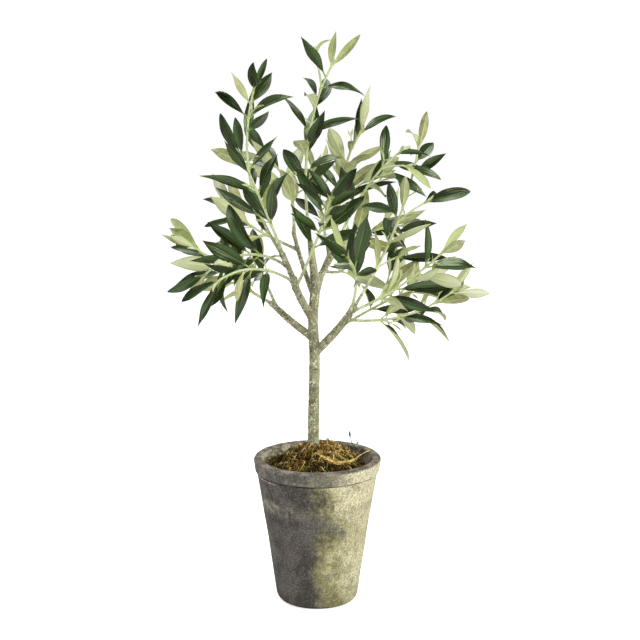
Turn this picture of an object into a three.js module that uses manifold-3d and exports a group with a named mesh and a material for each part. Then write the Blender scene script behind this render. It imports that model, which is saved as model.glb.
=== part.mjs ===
// An artificial olive tree, about 600 mm tall, standing in a tapered clay pot topped with moss.
// Lengths are millimetres and +Z is up. The origin is the centre of the pot's flat underside,
// the tree's front looks along -Y and its right-hand side, seen from the front, is +X.

import * as THREE from 'three';
import { mergeVertices } from 'three/addons/utils/BufferGeometryUtils.js';
import Module from 'manifold-3d';

const wasm = await Module();
wasm.setup();

// The gap kept between any two pieces that touch.
const GAP = 0.3;

// Clay pot
const POT_HEIGHT = 159;
const POT_FOOT_RADIUS = 42.2;
const POT_COLLAR_RADIUS = 65;
const RIM_RADIUS = 68.2;
const COLLAR_HEIGHT = 14.5;
const COLLAR_STEP = 1.6;
const GROOVE_DEPTH = 0.8;
const GROOVE_HEIGHT = 1.4;
const POT_WALL = 9.5;
const POT_FLOOR = 12;
const FOOT_ROUNDING = 9;
const RIM_ROUNDING = 3;
const RIM_BEVEL = 0.3;
const FOOT_STEPS = 4;
const POT_SEGMENTS = 40;

// Planting fill and moss
const FILL_TOP = 140;
const MOSS_EDGE = 148;
const MOSS_PEAK = 174;
const MOSS_LUMP = 1.5;
const MOSS_RINGS = 7;
const MOSS_SEGMENTS = 36;

// Trunk: the points its middle passes through, from the cut foot to the tip
const TRUNK_ROUTE = [
  [-4, 0, FILL_TOP + GAP],
  [-4, 0, 185],
  [-3.4, 0, 226],
  [-2.8, 0, 267],
  [-4.3, 0, 308],
  [-2.4, 0, 345],
  [-7.4, 8, 391],
];
const TRUNK_FOOT_RADIUS = 8.8;
const TRUNK_RADIUS = 6.5;
const TRUNK_FORK_RADIUS = 5.1;
const TRUNK_TIP_RADIUS = 2.9;
const FLARE_HEIGHT = 30;
const FORK_HEIGHT = 345;
const TRUNK_SIDES = 10;
const TRUNK_STEPS = 18;

// Boughs. `at` is a height on the trunk, or a share of the way along another bough.
// `bow` is how far the middle of the bough lies off the straight line from end to end.
const BOUGHS = {
  right_low: { from: 'trunk', at: 272, tip: [38, -25, 326], bow: [5, -2, 3], radii: [4.8, 3.6] },
  left_low: { from: 'trunk', at: 288, tip: [-48, 20, 322], bow: [-4, 2, 1], radii: [4.3, 3.2] },
  left_mid: { from: 'trunk', at: 308, tip: [-25, -12, 354], bow: [-3, -1, 2], radii: [4.2, 3.8] },
  left_top: { from: 'left_mid', at: 1, tip: [-36, -26, 382], bow: [0, 0, 1], radii: [3.1, 2.8] },
  back_right: { from: 'trunk', at: 322, tip: [13, 55, 367], bow: [0, 4, 6], radii: [3.3, 2.6] },
  back_left: { from: 'trunk', at: 331, tip: [-25, 36, 395], bow: [-1, 2, -1], radii: [2.9, 2.1] },
  right_up: { from: 'trunk', at: 342, tip: [20, 22, 379], bow: [1, 1, 4], radii: [3.7, 3] },
};
const KNOB = 0.22;
const KNOB_LENGTH = 5;
const LIMB_END_TAPER = 0.6;
const BOUGH_SIDES = 8;
const BOUGH_STEPS = 10;

// Sprays of leaves. Each grows from `at` on its carrier, in pairs of leaves set crosswise.
// `first` is the share of the stem below the first pair, `side` the chance of a side twig,
// `hang` how strongly the leaves droop, and `seed` starts the spray's own run of draws.
const SPRAYS = {
  top: {
    from: 'trunk', at: 391, tip: [14, -6, 571], bow: [-13, 1, 10],
    pairs: 6, first: 0.28, side: 0.5, seed: 2000,
  },
  left_top: {
    from: 'left_top', at: 1, tip: [-64, -35, 548], bow: [-18, -2, -4],
    pairs: 6, first: 0.25, side: 0.5, seed: 278,
  },
  left_high: {
    from: 'left_top', at: 0.7, tip: [-74, -62, 484], bow: [3, -16, -2],
    pairs: 3, first: 0.4, seed: 249,
  },
  left_far: {
    from: 'left_top', at: 0.4, tip: [-114, -26, 362], bow: [1, -7, 18],
    pairs: 4, first: 0.35, side: 0.3, seed: 1290,
  },
  left_front: {
    from: 'left_mid', at: 0.9, tip: [-96, -80, 365], bow: [-1, -12, 14],
    pairs: 4, first: 0.35, side: 0.4, hang: 0.35, seed: 1083,
  },
  left_low: {
    from: 'left_low', at: 0.97, tip: [-126, 10, 383], bow: [-2, -1, -3],
    pairs: 5, first: 0.25, side: 0.4, seed: 124,
  },
  left_back: {
    from: 'left_low', at: 0.85, tip: [-79, 66, 361], bow: [1, 3, 8],
    pairs: 3, first: 0.4, seed: 94,
  },
  back_high: {
    from: 'back_left', at: 1, tip: [-52, 72, 469], bow: [8, 8, 8],
    pairs: 4, first: 0.3, seed: 30,
  },
  back_left: {
    from: 'back_left', at: 0.75, tip: [-91, 62, 415], bow: [-9, 7, 0],
    pairs: 4, first: 0.35, seed: 83,
  },
  front: {
    from: 'left_mid', at: 0.75, tip: [12, -68, 441], bow: [3, -6, 3],
    pairs: 4, first: 0.45, seed: 195,
  },
  right_high: {
    from: 'right_up', at: 1, tip: [45, 36, 500], bow: [-6, 3, 13],
    pairs: 5, first: 0.3, side: 0.4, seed: 417,
  },
  right_crest: {
    from: 'right_up', at: 0.8, tip: [81, -22, 484], bow: [-3, -8, 11],
    pairs: 4, first: 0.4, side: 0.3, hang: 0.3, seed: 20,
  },
  right_top: {
    from: 'right_low', at: 1, tip: [103, -16, 487], bow: [9, -2, 0],
    pairs: 6, first: 0.25, side: 0.5, seed: 1490,
  },
  right_mid: {
    from: 'right_up', at: 0.6, tip: [86, 62, 399], bow: [-2, 7, 7],
    pairs: 4, first: 0.4, seed: 158,
  },
  right_far: {
    from: 'right_low', at: 0.88, tip: [126, -30, 382], bow: [2, 1, -5],
    pairs: 5, first: 0.3, side: 0.5, seed: 190,
  },
  right_low: {
    from: 'right_low', at: 0.7, tip: [142, 20, 333], bow: [3, 9, -13],
    pairs: 5, first: 0.3, side: 0.3, hang: 0.1, seed: 1725,
  },
  right_front: {
    from: 'right_low', at: 0.8, tip: [32, -82, 385], bow: [7, -9, 7],
    pairs: 3, first: 0.5, seed: 52,
  },
  right_back: {
    from: 'right_low', at: 0.5, tip: [117, 70, 332], bow: [2, 12, 2],
    pairs: 4, first: 0.35, seed: 71,
  },
  back: {
    from: 'back_right', at: 1, tip: [0, 92, 448], bow: [-2, 6, 3],
    pairs: 4, first: 0.3, seed: 192,
  },
  back_low: {
    from: 'back_right', at: 0.6, tip: [38, 110, 373], bow: [8, 6, -14],
    pairs: 4, first: 0.35, seed: 54,
  },
};
const STEM_RADII = [1.6, 1];
const BUD_LENGTH = 3;
const BUD_TAPER = 0.4;
const STEM_SIDES = 4;
const STEM_STEPS = 9;

// Side twigs: angles in degrees, lengths in millimetres
const TWIG_RADII = [1.2, 0.85];
const TWIG_SPREAD = [35, 50];
const TWIG_LENGTH = [20, 34];
const TWIG_LIFT = 0.15;
const TWIG_BOW = 1.5;
const TWIG_STEPS = 2;
const TWIG_TRIES = 5;

// Leaves. A leaf's thickness is that of its keel; the last pair on a stem is smaller.
const LEAF_LENGTH = 57;
const LEAF_RATIO = 0.218;
const LEAF_THICKNESS = 0.9;
const STALK_SHARE = 0.09;
const STALK_HALF_WIDTH = 0.7;
const LEAF_SECTIONS = [0.28, 0.55, 0.8];
const LEAF_STRETCH = [0.78, 1.2];
const LEAF_BROADNESS = [0.85, 1.12];
const BROADER_STAMPS = [1.3, 1.15];
const BROADER_EVERY = 3;
const FILLING_LEAF_SIZE = 0.84;
const FILLING_TURN = 45;
const FILLING_SEED = 9;
const FILLING_SHARE = 0.5;
const TIP_LEAF_SIZE = 0.82;
const TWIG_LEAF_SIZE = 0.85;
const LOW_LEAF_SIZE = 1.08;
const SIZE_LOSS = 0.25;
const MISSING_LEAVES = 0.08;

// How a leaf sits, in degrees: its angle from the stem, its arch, its twist, and the share of
// leaves that turn their upper side to the front.
const LEAF_SPREAD = [26, 54];
const TIP_LEAF_SPREAD = [14, 34];
const LEAF_ARCH = [4, 48];
const CURLED_ARCH = [60, 85];
const CURLED_LEAVES = 0.06;
const LEAF_TWIST = 28;
const PAIR_TURN = 90;
const PAIR_WANDER = 25;
const UPPER_SIDE_SHOWN = 0.62;
const LEAF_TRIES = 6;

// Clearance kept between a new leaf or twig and whatever has already grown, and the radius
// kept clear round the middle of each limb. Leaves stay below the crown's top.
const LEAF_CLEARANCE = 3.4;
const TIGHT_CLEARANCE = 2.8;
const TWIG_CLEARANCE = 2.6;
const TRUNK_KEPT_CLEAR = 4.5;
const BOUGH_KEPT_CLEAR = 3;
const STEM_KEPT_CLEAR = 1.2;
const TWIG_KEPT_CLEAR = 1;
const CROWN_TOP = 610;

const UP = new THREE.Vector3(0, 0, 1);
const FRONT = new THREE.Vector3(0, -1, 0);

const vec = (x, y, z) => new THREE.Vector3(x, y, z);
const blend = (a, b, t) => a + (b - a) * t;
const radians = (degrees) => (degrees * Math.PI) / 180;

// A closed body from a list of corner points and a list of triangles.
function bodyFrom(points, triangles) {
  const geometry = new THREE.BufferGeometry();
  const numbers = points.flatMap((p) => [p.x, p.y, p.z]);
  geometry.setAttribute('position', new THREE.Float32BufferAttribute(numbers, 3));
  geometry.setIndex(triangles.flat());
  return geometry;
}

function toSolid(geometry) {
  const bare = geometry.clone();
  bare.deleteAttribute('normal');
  bare.deleteAttribute('uv');
  const merged = mergeVertices(bare, 1e-4);
  return new wasm.Manifold(new wasm.Mesh({
    numProp: 3,
    vertProperties: Float32Array.from(merged.attributes.position.array),
    triVerts: Uint32Array.from(merged.index.array),
  }));
}

// The largest piece of a solid, as a geometry: loose scraps left by a cut are dropped.
function toGeometry(solid) {
  const pieces = solid.decompose().sort((a, b) => b.volume() - a.volume());
  const mesh = pieces[0].getMesh();
  const geometry = new THREE.BufferGeometry();
  geometry.setAttribute('position', new THREE.Float32BufferAttribute(mesh.vertProperties, 3));
  geometry.setIndex([...mesh.triVerts]);
  return geometry;
}

// A limb's middle line: a smooth route through named points, or one gentle bow.
function routeThrough(points) {
  const stops = points.map((p) => vec(...p));
  const spans = stops.length - 1;
  return {
    point(t) {
      const place = Math.min(Math.max(t, 0), 1) * spans;
      const i = Math.min(Math.floor(place), spans - 1);
      const s = place - i;
      const a = stops[Math.max(i - 1, 0)];
      const b = stops[i];
      const c = stops[i + 1];
      const d = stops[Math.min(i + 2, spans)];
      const mix = (key) => 0.5 * (2 * b[key] + (c[key] - a[key]) * s
        + (2 * a[key] - 5 * b[key] + 4 * c[key] - d[key]) * s * s
        + (3 * b[key] - a[key] - 3 * c[key] + d[key]) * s * s * s);
      return vec(mix('x'), mix('y'), mix('z'));
    },
    direction(t) {
      const step = 1e-3;
      const ahead = this.point(Math.min(t + step, 1));
      return ahead.sub(this.point(Math.max(t - step, 0))).normalize();
    },
  };
}

function bowedLine(start, tip, bow) {
  const control = start.clone().add(tip).multiplyScalar(0.5).addScaledVector(bow, 2);
  return {
    start,
    tip,
    point: (t) => start.clone().multiplyScalar((1 - t) ** 2)
      .addScaledVector(control, 2 * t * (1 - t))
      .addScaledVector(tip, t * t),
    direction: (t) => control.clone().sub(start).multiplyScalar(1 - t)
      .add(tip.clone().sub(control).multiplyScalar(t))
      .normalize(),
  };
}

// A closed tube round a list of stations, each with a middle, a direction and a radius.
function tube(stations, sides) {
  const points = [];
  const triangles = [];
  let side = new THREE.Vector3().crossVectors(FRONT, stations[0].direction);
  if (side.length() < 0.1) side = vec(1, 0, 0);
  for (const { middle, direction, radius } of stations) {
    side.addScaledVector(direction, -side.dot(direction)).normalize();
    const other = new THREE.Vector3().crossVectors(direction, side);
    for (let k = 0; k < sides; k += 1) {
      const angle = (2 * Math.PI * k) / sides;
      points.push(middle.clone()
        .addScaledVector(side, radius * Math.cos(angle))
        .addScaledVector(other, radius * Math.sin(angle)));
    }
  }
  const rings = stations.length;
  for (let ring = 0; ring < rings - 1; ring += 1) {
    for (let k = 0; k < sides; k += 1) {
      const a = ring * sides + k;
      const b = ring * sides + ((k + 1) % sides);
      triangles.push([a, b, b + sides], [a, b + sides, a + sides]);
    }
  }
  const foot = points.push(stations[0].middle.clone()) - 1;
  const head = points.push(stations[rings - 1].middle.clone()) - 1;
  const last = (rings - 1) * sides;
  for (let k = 0; k < sides; k += 1) {
    const next = (k + 1) % sides;
    triangles.push([foot, next, k], [head, last + k, last + next]);
  }
  return bodyFrom(points, triangles);
}

// Clay pot: a tapered wall with a rounded foot, a groove and a slightly proud collar.
const COLLAR_FOOT = POT_HEIGHT - COLLAR_HEIGHT;
const MOUTH_RADIUS = RIM_RADIUS - POT_WALL;
const MOUTH_FOOT = POT_HEIGHT - RIM_ROUNDING;
const sideRadius = (z) => blend(POT_FOOT_RADIUS, POT_COLLAR_RADIUS, z / COLLAR_FOOT);
const innerRadius = (z) => (z < FILL_TOP
  ? sideRadius(z) - POT_WALL
  : blend(sideRadius(FILL_TOP) - POT_WALL, MOUTH_RADIUS, (z - FILL_TOP) / (MOUTH_FOOT - FILL_TOP)));

// The widest corner that stays one gap clear of the flats of the pot's inner wall.
const clearRadius = (z) => innerRadius(z) * Math.cos(Math.PI / POT_SEGMENTS) - GAP;

function potGeometry() {
  const flatFoot = sideRadius(FOOT_ROUNDING) - FOOT_ROUNDING;
  const grooveFoot = COLLAR_FOOT - GROOVE_HEIGHT;
  const bevel = RIM_ROUNDING * RIM_BEVEL;
  const profile = [new THREE.Vector2(0, 0)];
  for (let k = 0; k <= FOOT_STEPS; k += 1) {
    const angle = (k / FOOT_STEPS) * (Math.PI / 2);
    profile.push(new THREE.Vector2(
      flatFoot + FOOT_ROUNDING * Math.sin(angle),
      FOOT_ROUNDING * (1 - Math.cos(angle)),
    ));
  }
  profile.push(
    new THREE.Vector2(sideRadius(grooveFoot), grooveFoot),
    new THREE.Vector2(sideRadius(COLLAR_FOOT) - GROOVE_DEPTH, COLLAR_FOOT - GROOVE_HEIGHT / 2),
    new THREE.Vector2(POT_COLLAR_RADIUS + COLLAR_STEP, COLLAR_FOOT),
    new THREE.Vector2(RIM_RADIUS, MOUTH_FOOT),
    new THREE.Vector2(RIM_RADIUS - bevel, POT_HEIGHT - bevel),
    new THREE.Vector2(RIM_RADIUS - RIM_ROUNDING, POT_HEIGHT),
    new THREE.Vector2(MOUTH_RADIUS + RIM_ROUNDING, POT_HEIGHT),
    new THREE.Vector2(MOUTH_RADIUS + bevel, POT_HEIGHT - bevel),
    new THREE.Vector2(MOUTH_RADIUS, MOUTH_FOOT),
    new THREE.Vector2(innerRadius(FILL_TOP), FILL_TOP),
    new THREE.Vector2(innerRadius(POT_FLOOR), POT_FLOOR),
    new THREE.Vector2(0, POT_FLOOR),
  );
  return new THREE.LatheGeometry(profile, POT_SEGMENTS).rotateX(Math.PI / 2);
}

// Planting fill: the plug that the trunk stands on, clear of the wall all round.
function fillGeometry() {
  const foot = POT_FLOOR + GAP;
  const profile = [
    new THREE.Vector2(0, foot),
    new THREE.Vector2(clearRadius(foot), foot),
    new THREE.Vector2(clearRadius(FILL_TOP), FILL_TOP),
    new THREE.Vector2(0, FILL_TOP),
  ];
  return new THREE.LatheGeometry(profile, POT_SEGMENTS).rotateX(Math.PI / 2);
}

// Moss: a lumpy mound, highest round the trunk, that meets the wall all round the mouth.
function mossHeight(x, y, share) {
  const mound = blend(MOSS_PEAK, MOSS_EDGE, share ** 1.5);
  const broad = Math.sin(0.31 * x + 0.9) * Math.cos(0.27 * y - 0.4);
  const fine = Math.sin(0.62 * x - 0.45 * y);
  return mound + MOSS_LUMP * (broad + 0.6 * fine);
}

function mossGeometry() {
  const foot = FILL_TOP + GAP;
  const points = [vec(0, 0, foot), vec(0, 0, mossHeight(0, 0, 0))];
  const triangles = [];
  const around = (radius, k, z) => {
    const angle = (2 * Math.PI * k) / MOSS_SEGMENTS;
    return vec(radius * Math.cos(angle), radius * Math.sin(angle), z);
  };
  for (let ring = 1; ring <= MOSS_RINGS; ring += 1) {
    const share = ring / MOSS_RINGS;
    for (let k = 0; k < MOSS_SEGMENTS; k += 1) {
      const place = around(clearRadius(MOSS_EDGE) * share, k, 0);
      const z = mossHeight(place.x, place.y, share);
      points.push(around(Math.min(clearRadius(z), clearRadius(MOSS_EDGE)) * share, k, z));
    }
  }
  for (let k = 0; k < MOSS_SEGMENTS; k += 1) points.push(around(clearRadius(foot), k, foot));
  const ringStart = (ring) => 2 + ring * MOSS_SEGMENTS;
  for (let k = 0; k < MOSS_SEGMENTS; k += 1) {
    const next = (k + 1) % MOSS_SEGMENTS;
    triangles.push([1, ringStart(0) + k, ringStart(0) + next]);
    triangles.push([0, ringStart(MOSS_RINGS) + next, ringStart(MOSS_RINGS) + k]);
    for (let ring = 0; ring < MOSS_RINGS; ring += 1) {
      const a = ringStart(ring) + k;
      const b = ringStart(ring) + next;
      triangles.push([a, a + MOSS_SEGMENTS, b + MOSS_SEGMENTS], [a, b + MOSS_SEGMENTS, b]);
    }
  }
  return bodyFrom(points, triangles);
}

// Trunk: a true taper with a slight flare at the cut foot and a small bend at each fork.
const trunkLine = routeThrough(TRUNK_ROUTE);
const TRUNK_FOOT = TRUNK_ROUTE[0][2];
const TRUNK_TIP = TRUNK_ROUTE[TRUNK_ROUTE.length - 1][2];

function trunkRadius(z) {
  const flare = Math.max(0, 1 - (z - TRUNK_FOOT) / FLARE_HEIGHT) ** 2;
  const below = blend(TRUNK_RADIUS, TRUNK_FORK_RADIUS, (z - TRUNK_FOOT) / (FORK_HEIGHT - TRUNK_FOOT));
  const above = blend(TRUNK_FORK_RADIUS, TRUNK_TIP_RADIUS, (z - FORK_HEIGHT) / (TRUNK_TIP - FORK_HEIGHT));
  return (z < FORK_HEIGHT ? below : above) + (TRUNK_FOOT_RADIUS - TRUNK_RADIUS) * flare;
}

// The trunk's middle at a height, found by halving, because its line is given by share.
function trunkAt(z) {
  let low = 0;
  let high = 1;
  for (let k = 0; k < 40; k += 1) {
    const middle = (low + high) / 2;
    if (trunkLine.point(middle).z < z) low = middle;
    else high = middle;
  }
  return trunkLine.point(low);
}

function trunkTube(grow) {
  const stations = [];
  for (let k = 0; k <= TRUNK_STEPS; k += 1) {
    const t = k / TRUNK_STEPS;
    const middle = trunkLine.point(t);
    const direction = k === 0 ? UP.clone() : trunkLine.direction(t);
    stations.push({ middle, direction, radius: trunkRadius(middle.z) + grow });
  }
  const tip = stations[TRUNK_STEPS];
  stations.push({
    middle: tip.middle.clone().addScaledVector(tip.direction, TRUNK_TIP_RADIUS * LIMB_END_TAPER + grow),
    direction: tip.direction,
    radius: tip.radius * LIMB_END_TAPER,
  });
  return tube(stations, TRUNK_SIDES);
}

// Boughs: one tapering limb each, with a small knob at the tip where the stems leave it.
const boughLines = {};
for (const [name, bough] of Object.entries(BOUGHS)) {
  const start = bough.from === 'trunk' ? trunkAt(bough.at) : boughLines[bough.from].point(bough.at);
  boughLines[name] = bowedLine(start, vec(...bough.tip), vec(...bough.bow));
}

function boughTube(name, grow) {
  const line = boughLines[name];
  const [base, end] = BOUGHS[name].radii;
  const length = line.start.distanceTo(line.tip);
  const stations = [];
  for (let k = 0; k <= BOUGH_STEPS; k += 1) {
    const t = k / BOUGH_STEPS;
    const fromTip = ((1 - t) * length) / KNOB_LENGTH;
    const knob = 1 + KNOB * Math.exp(-fromTip * fromTip);
    stations.push({
      middle: line.point(t),
      direction: line.direction(t),
      radius: blend(base, end, t) * knob + grow,
    });
  }
  const tip = stations[BOUGH_STEPS];
  stations.push({
    middle: tip.middle.clone().addScaledVector(tip.direction, end * LIMB_END_TAPER + grow),
    direction: tip.direction,
    radius: tip.radius * LIMB_END_TAPER,
  });
  return tube(stations, BOUGH_SIDES);
}

// A carrier swollen by the gap, so that what it cuts stays clear of it. Growing a tube's
// corners by this much moves its flats out by the whole gap.
function swollen(name) {
  const sides = name === 'trunk' ? TRUNK_SIDES : BOUGH_SIDES;
  const grow = GAP / Math.cos(Math.PI / sides);
  return toSolid(name === 'trunk' ? trunkTube(grow) : boughTube(name, grow));
}

// A run of numbers that any program can repeat from the same seed.
function drawsFrom(seed) {
  const modulus = 2147483647;
  let state = (seed * 7919) % modulus;
  const next = () => {
    state = (state * 16807) % modulus;
    return state / modulus;
  };
  for (let k = 0; k < 3; k += 1) next();
  return { next, between: (low, high) => low + (high - low) * next() };
}

// A leaf is a blade that curves back from its stalk in an arc. `root` is its foot on the
// stem, `aim` its first direction, `face` the way its upper side looks.
function leafMiddle(leaf, u) {
  const bend = leaf.arch / leaf.length;
  const turned = bend * u * leaf.length;
  const middle = leaf.root.clone()
    .addScaledVector(leaf.aim, Math.sin(turned) / bend)
    .addScaledVector(leaf.face, -(1 - Math.cos(turned)) / bend);
  const face = leaf.face.clone()
    .multiplyScalar(Math.cos(turned))
    .addScaledVector(leaf.aim, Math.sin(turned));
  return { middle, face, side: new THREE.Vector3().crossVectors(face, leaf.aim) };
}

function leafHalfWidth(leaf, u) {
  if (u >= 1) return 0;
  if (u < STALK_SHARE) return STALK_HALF_WIDTH;
  const share = (u - STALK_SHARE) / (1 - STALK_SHARE);
  const swell = Math.sin(Math.PI * share ** 0.92) ** 0.85;
  return Math.max(STALK_HALF_WIDTH, 0.5 * leaf.length * LEAF_RATIO * leaf.wide * swell);
}

// Points spread over a blade, for testing what lies near it: five across, twelve along.
function leafSamples(leaf) {
  const rows = 12;
  const samples = [];
  for (let row = 1; row <= rows; row += 1) {
    const { middle, side } = leafMiddle(leaf, row / rows);
    const half = leafHalfWidth(leaf, row / rows);
    for (const across of [-1, -0.5, 0, 0.5, 1]) {
      samples.push(middle.clone().addScaledVector(side, across * half));
    }
  }
  return samples;
}

// The space already taken: groups of points, each with a radius kept clear round it.
const taken = [];

function ballRound(points) {
  const centre = points.reduce((sum, p) => sum.add(p), vec(0, 0, 0)).divideScalar(points.length);
  return { centre, reach: Math.max(...points.map((p) => p.distanceTo(centre))) };
}

function take(owner, points, radius) {
  taken.push({ owner, points, radius, ...ballRound(points) });
}

function isClear(points, clearance, ignored) {
  const ball = ballRound(points);
  return taken.every((group) => {
    if (group.owner === ignored) return true;
    const apart = group.centre.distanceTo(ball.centre) - group.reach - group.radius - ball.reach;
    if (apart > clearance) return true;
    const limit = (clearance + group.radius) ** 2;
    return points.every((p) => group.points.every((q) => p.distanceToSquared(q) >= limit));
  });
}

function pointsAlong(line, from, count) {
  const points = [];
  for (let k = 0; k < count; k += 1) points.push(line.point(blend(from, 1, k / (count - 1))));
  return points;
}

// Trunk, boughs and every stem are in the way of leaves before the first leaf grows.
take('trunk', pointsAlong(trunkLine, 0, 80), TRUNK_KEPT_CLEAR);
for (const [name, line] of Object.entries(boughLines)) {
  take(name, pointsAlong(line, 0.12, 24), BOUGH_KEPT_CLEAR);
}
const stemLines = {};
for (const [name, spray] of Object.entries(SPRAYS)) {
  const start = spray.from === 'trunk' ? trunkAt(spray.at) : boughLines[spray.from].point(spray.at);
  stemLines[name] = bowedLine(start, vec(...spray.tip), vec(...spray.bow));
  take(`stem_${name}`, pointsAlong(stemLines[name], 0.15, 40), STEM_KEPT_CLEAR);
}

// One leaf: a few tries at a place that is clear of everything else, then it is skipped.
function growLeaf(spray, draws, root, along, outward, atTip, size) {
  for (let attempt = 0; attempt < LEAF_TRIES; attempt += 1) {
    const open = radians(draws.between(...(atTip ? TIP_LEAF_SPREAD : LEAF_SPREAD)));
    const aim = along.clone().multiplyScalar(Math.cos(open))
      .addScaledVector(outward, Math.sin(open))
      .addScaledVector(UP, -(spray.hang ?? 0))
      .normalize();
    const shown = draws.next() < UPPER_SIDE_SHOWN ? 1 : -1;
    const looking = along.clone().multiplyScalar(0.45)
      .addScaledVector(FRONT, shown * draws.between(0.3, 1.5))
      .addScaledVector(UP, 0.3 * shown)
      .addScaledVector(outward, draws.between(-0.5, 0.5));
    looking.addScaledVector(aim, -looking.dot(aim)).normalize();
    const twist = radians(draws.between(-LEAF_TWIST, LEAF_TWIST));
    const face = looking.clone().multiplyScalar(Math.cos(twist))
      .addScaledVector(new THREE.Vector3().crossVectors(aim, looking), Math.sin(twist));
    const length = size * draws.between(...LEAF_STRETCH);
    const arch = radians(draws.between(...(draws.next() > CURLED_LEAVES ? LEAF_ARCH : CURLED_ARCH)));
    const leaf = { root, aim, face, length, arch, wide: draws.between(...LEAF_BROADNESS) };
    const samples = leafSamples(leaf);
    const clearance = attempt < LEAF_TRIES - 2 ? LEAF_CLEARANCE : TIGHT_CLEARANCE;
    const tooHigh = Math.max(...samples.map((p) => p.z)) > CROWN_TOP;
    if (!tooHigh && isClear(samples.slice(10), clearance)) {
      take(leaf, samples.slice(5), 0);
      return leaf;
    }
  }
  return null;
}

// A side twig with a pair of leaves at its tip.
function growTwig(name, draws, root, along, outward, leaves) {
  for (let attempt = 0; attempt < TWIG_TRIES; attempt += 1) {
    const open = radians(draws.between(...TWIG_SPREAD));
    const aim = along.clone().multiplyScalar(Math.cos(open))
      .addScaledVector(outward, Math.sin(open))
      .addScaledVector(UP, TWIG_LIFT)
      .normalize();
    const tip = root.clone().addScaledVector(aim, draws.between(...TWIG_LENGTH));
    const twig = bowedLine(root, tip, along.clone().multiplyScalar(TWIG_BOW));
    const samples = pointsAlong(twig, 0.25, 10);
    if (isClear(samples, TWIG_CLEARANCE, attempt > 2 ? `stem_${name}` : undefined)) {
      take('twig', samples, TWIG_KEPT_CLEAR);
      const end = twig.direction(1);
      const across = new THREE.Vector3().crossVectors(end, along).normalize();
      const size = LEAF_LENGTH * TWIG_LEAF_SIZE;
      for (const side of [1, -1]) {
        leaves.push(growLeaf(SPRAYS[name], draws, tip, end, across.clone().multiplyScalar(side), true, size));
      }
      return twig;
    }
  }
  return null;
}

// The direction in which a leaf leaves its stem: a turn round it, or the opposite side.
function outwardFrom(along, turn, side) {
  const reference = Math.abs(along.y) < 0.9 ? FRONT : UP;
  const level = new THREE.Vector3().crossVectors(along, reference).normalize();
  const across = new THREE.Vector3().crossVectors(along, level);
  return level.multiplyScalar(side * Math.cos(turn)).addScaledVector(across, side * Math.sin(turn));
}

// A spray: pairs of leaves set crosswise up the stem, the last pair at its tip.
function growSpray(name) {
  const spray = SPRAYS[name];
  const stem = stemLines[name];
  const draws = drawsFrom(spray.seed);
  const leaves = [];
  const twigs = [];
  const joints = [];
  const start = draws.between(0, 180);
  for (let k = 0; k < spray.pairs; k += 1) {
    const atTip = k === spray.pairs - 1;
    const t = blend(spray.first, 1, k / (spray.pairs - 1));
    const root = stem.point(t);
    const along = stem.direction(t);
    const turn = radians(start + PAIR_TURN * k + draws.between(-PAIR_WANDER, PAIR_WANDER));
    joints.push({ t, turn });
    for (const side of [1, -1]) {
      const outward = outwardFrom(along, turn, side);
      const twigSide = k % 4 === 0 ? 1 : -1;
      if (spray.side && !atTip && k % 2 === 0 && side === twigSide && draws.next() < spray.side) {
        twigs.push(growTwig(name, draws, root, along, outward, leaves));
      }
      if (!atTip && draws.next() < MISSING_LEAVES) continue;
      const size = LEAF_LENGTH * (atTip ? TIP_LEAF_SIZE : LOW_LEAF_SIZE - SIZE_LOSS * t);
      leaves.push(growLeaf(spray, draws, root, along, outward, atTip, size));
    }
  }
  return { stem, joints, twigs: twigs.filter(Boolean), leaves: leaves.filter(Boolean) };
}

// Smaller leaves fill a spray out between its pairs, wherever there is still room.
function fillOut(name, draws) {
  const { stem, joints, leaves } = grown[name];
  for (let k = 0; k + 1 < joints.length; k += 1) {
    const t = (joints[k].t + joints[k + 1].t) / 2;
    const root = stem.point(t);
    const along = stem.direction(t);
    const turn = joints[k].turn + radians(FILLING_TURN + draws.between(-PAIR_WANDER, PAIR_WANDER));
    for (const side of [1, -1]) {
      if (draws.next() > FILLING_SHARE) continue;
      const outward = outwardFrom(along, turn, side);
      leaves.push(growLeaf(SPRAYS[name], draws, root, along, outward, false, LEAF_LENGTH * FILLING_LEAF_SIZE));
    }
  }
  grown[name].leaves = leaves.filter(Boolean);
}

// Leaves are stamped in three breadths. Once all have grown, every few of them take the
// broadest stamp that stays clear of everything else.
function broaden(leaf) {
  for (const share of BROADER_STAMPS) {
    const wide = leaf.wide * share;
    const points = leafSamples({ ...leaf, wide }).slice(5);
    if (isClear(points.slice(5), TIGHT_CLEARANCE, leaf)) {
      leaf.wide = wide;
      Object.assign(taken.find((group) => group.owner === leaf), { points, ...ballRound(points) });
      return;
    }
  }
}

const grown = {};
for (const name of Object.keys(SPRAYS)) grown[name] = growSpray(name);
const fillingDraws = drawsFrom(FILLING_SEED);
for (const name of Object.keys(SPRAYS)) fillOut(name, fillingDraws);
for (const spray of Object.values(grown)) {
  spray.leaves.filter((leaf, k) => k % BROADER_EVERY === 0).forEach(broaden);
}

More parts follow.
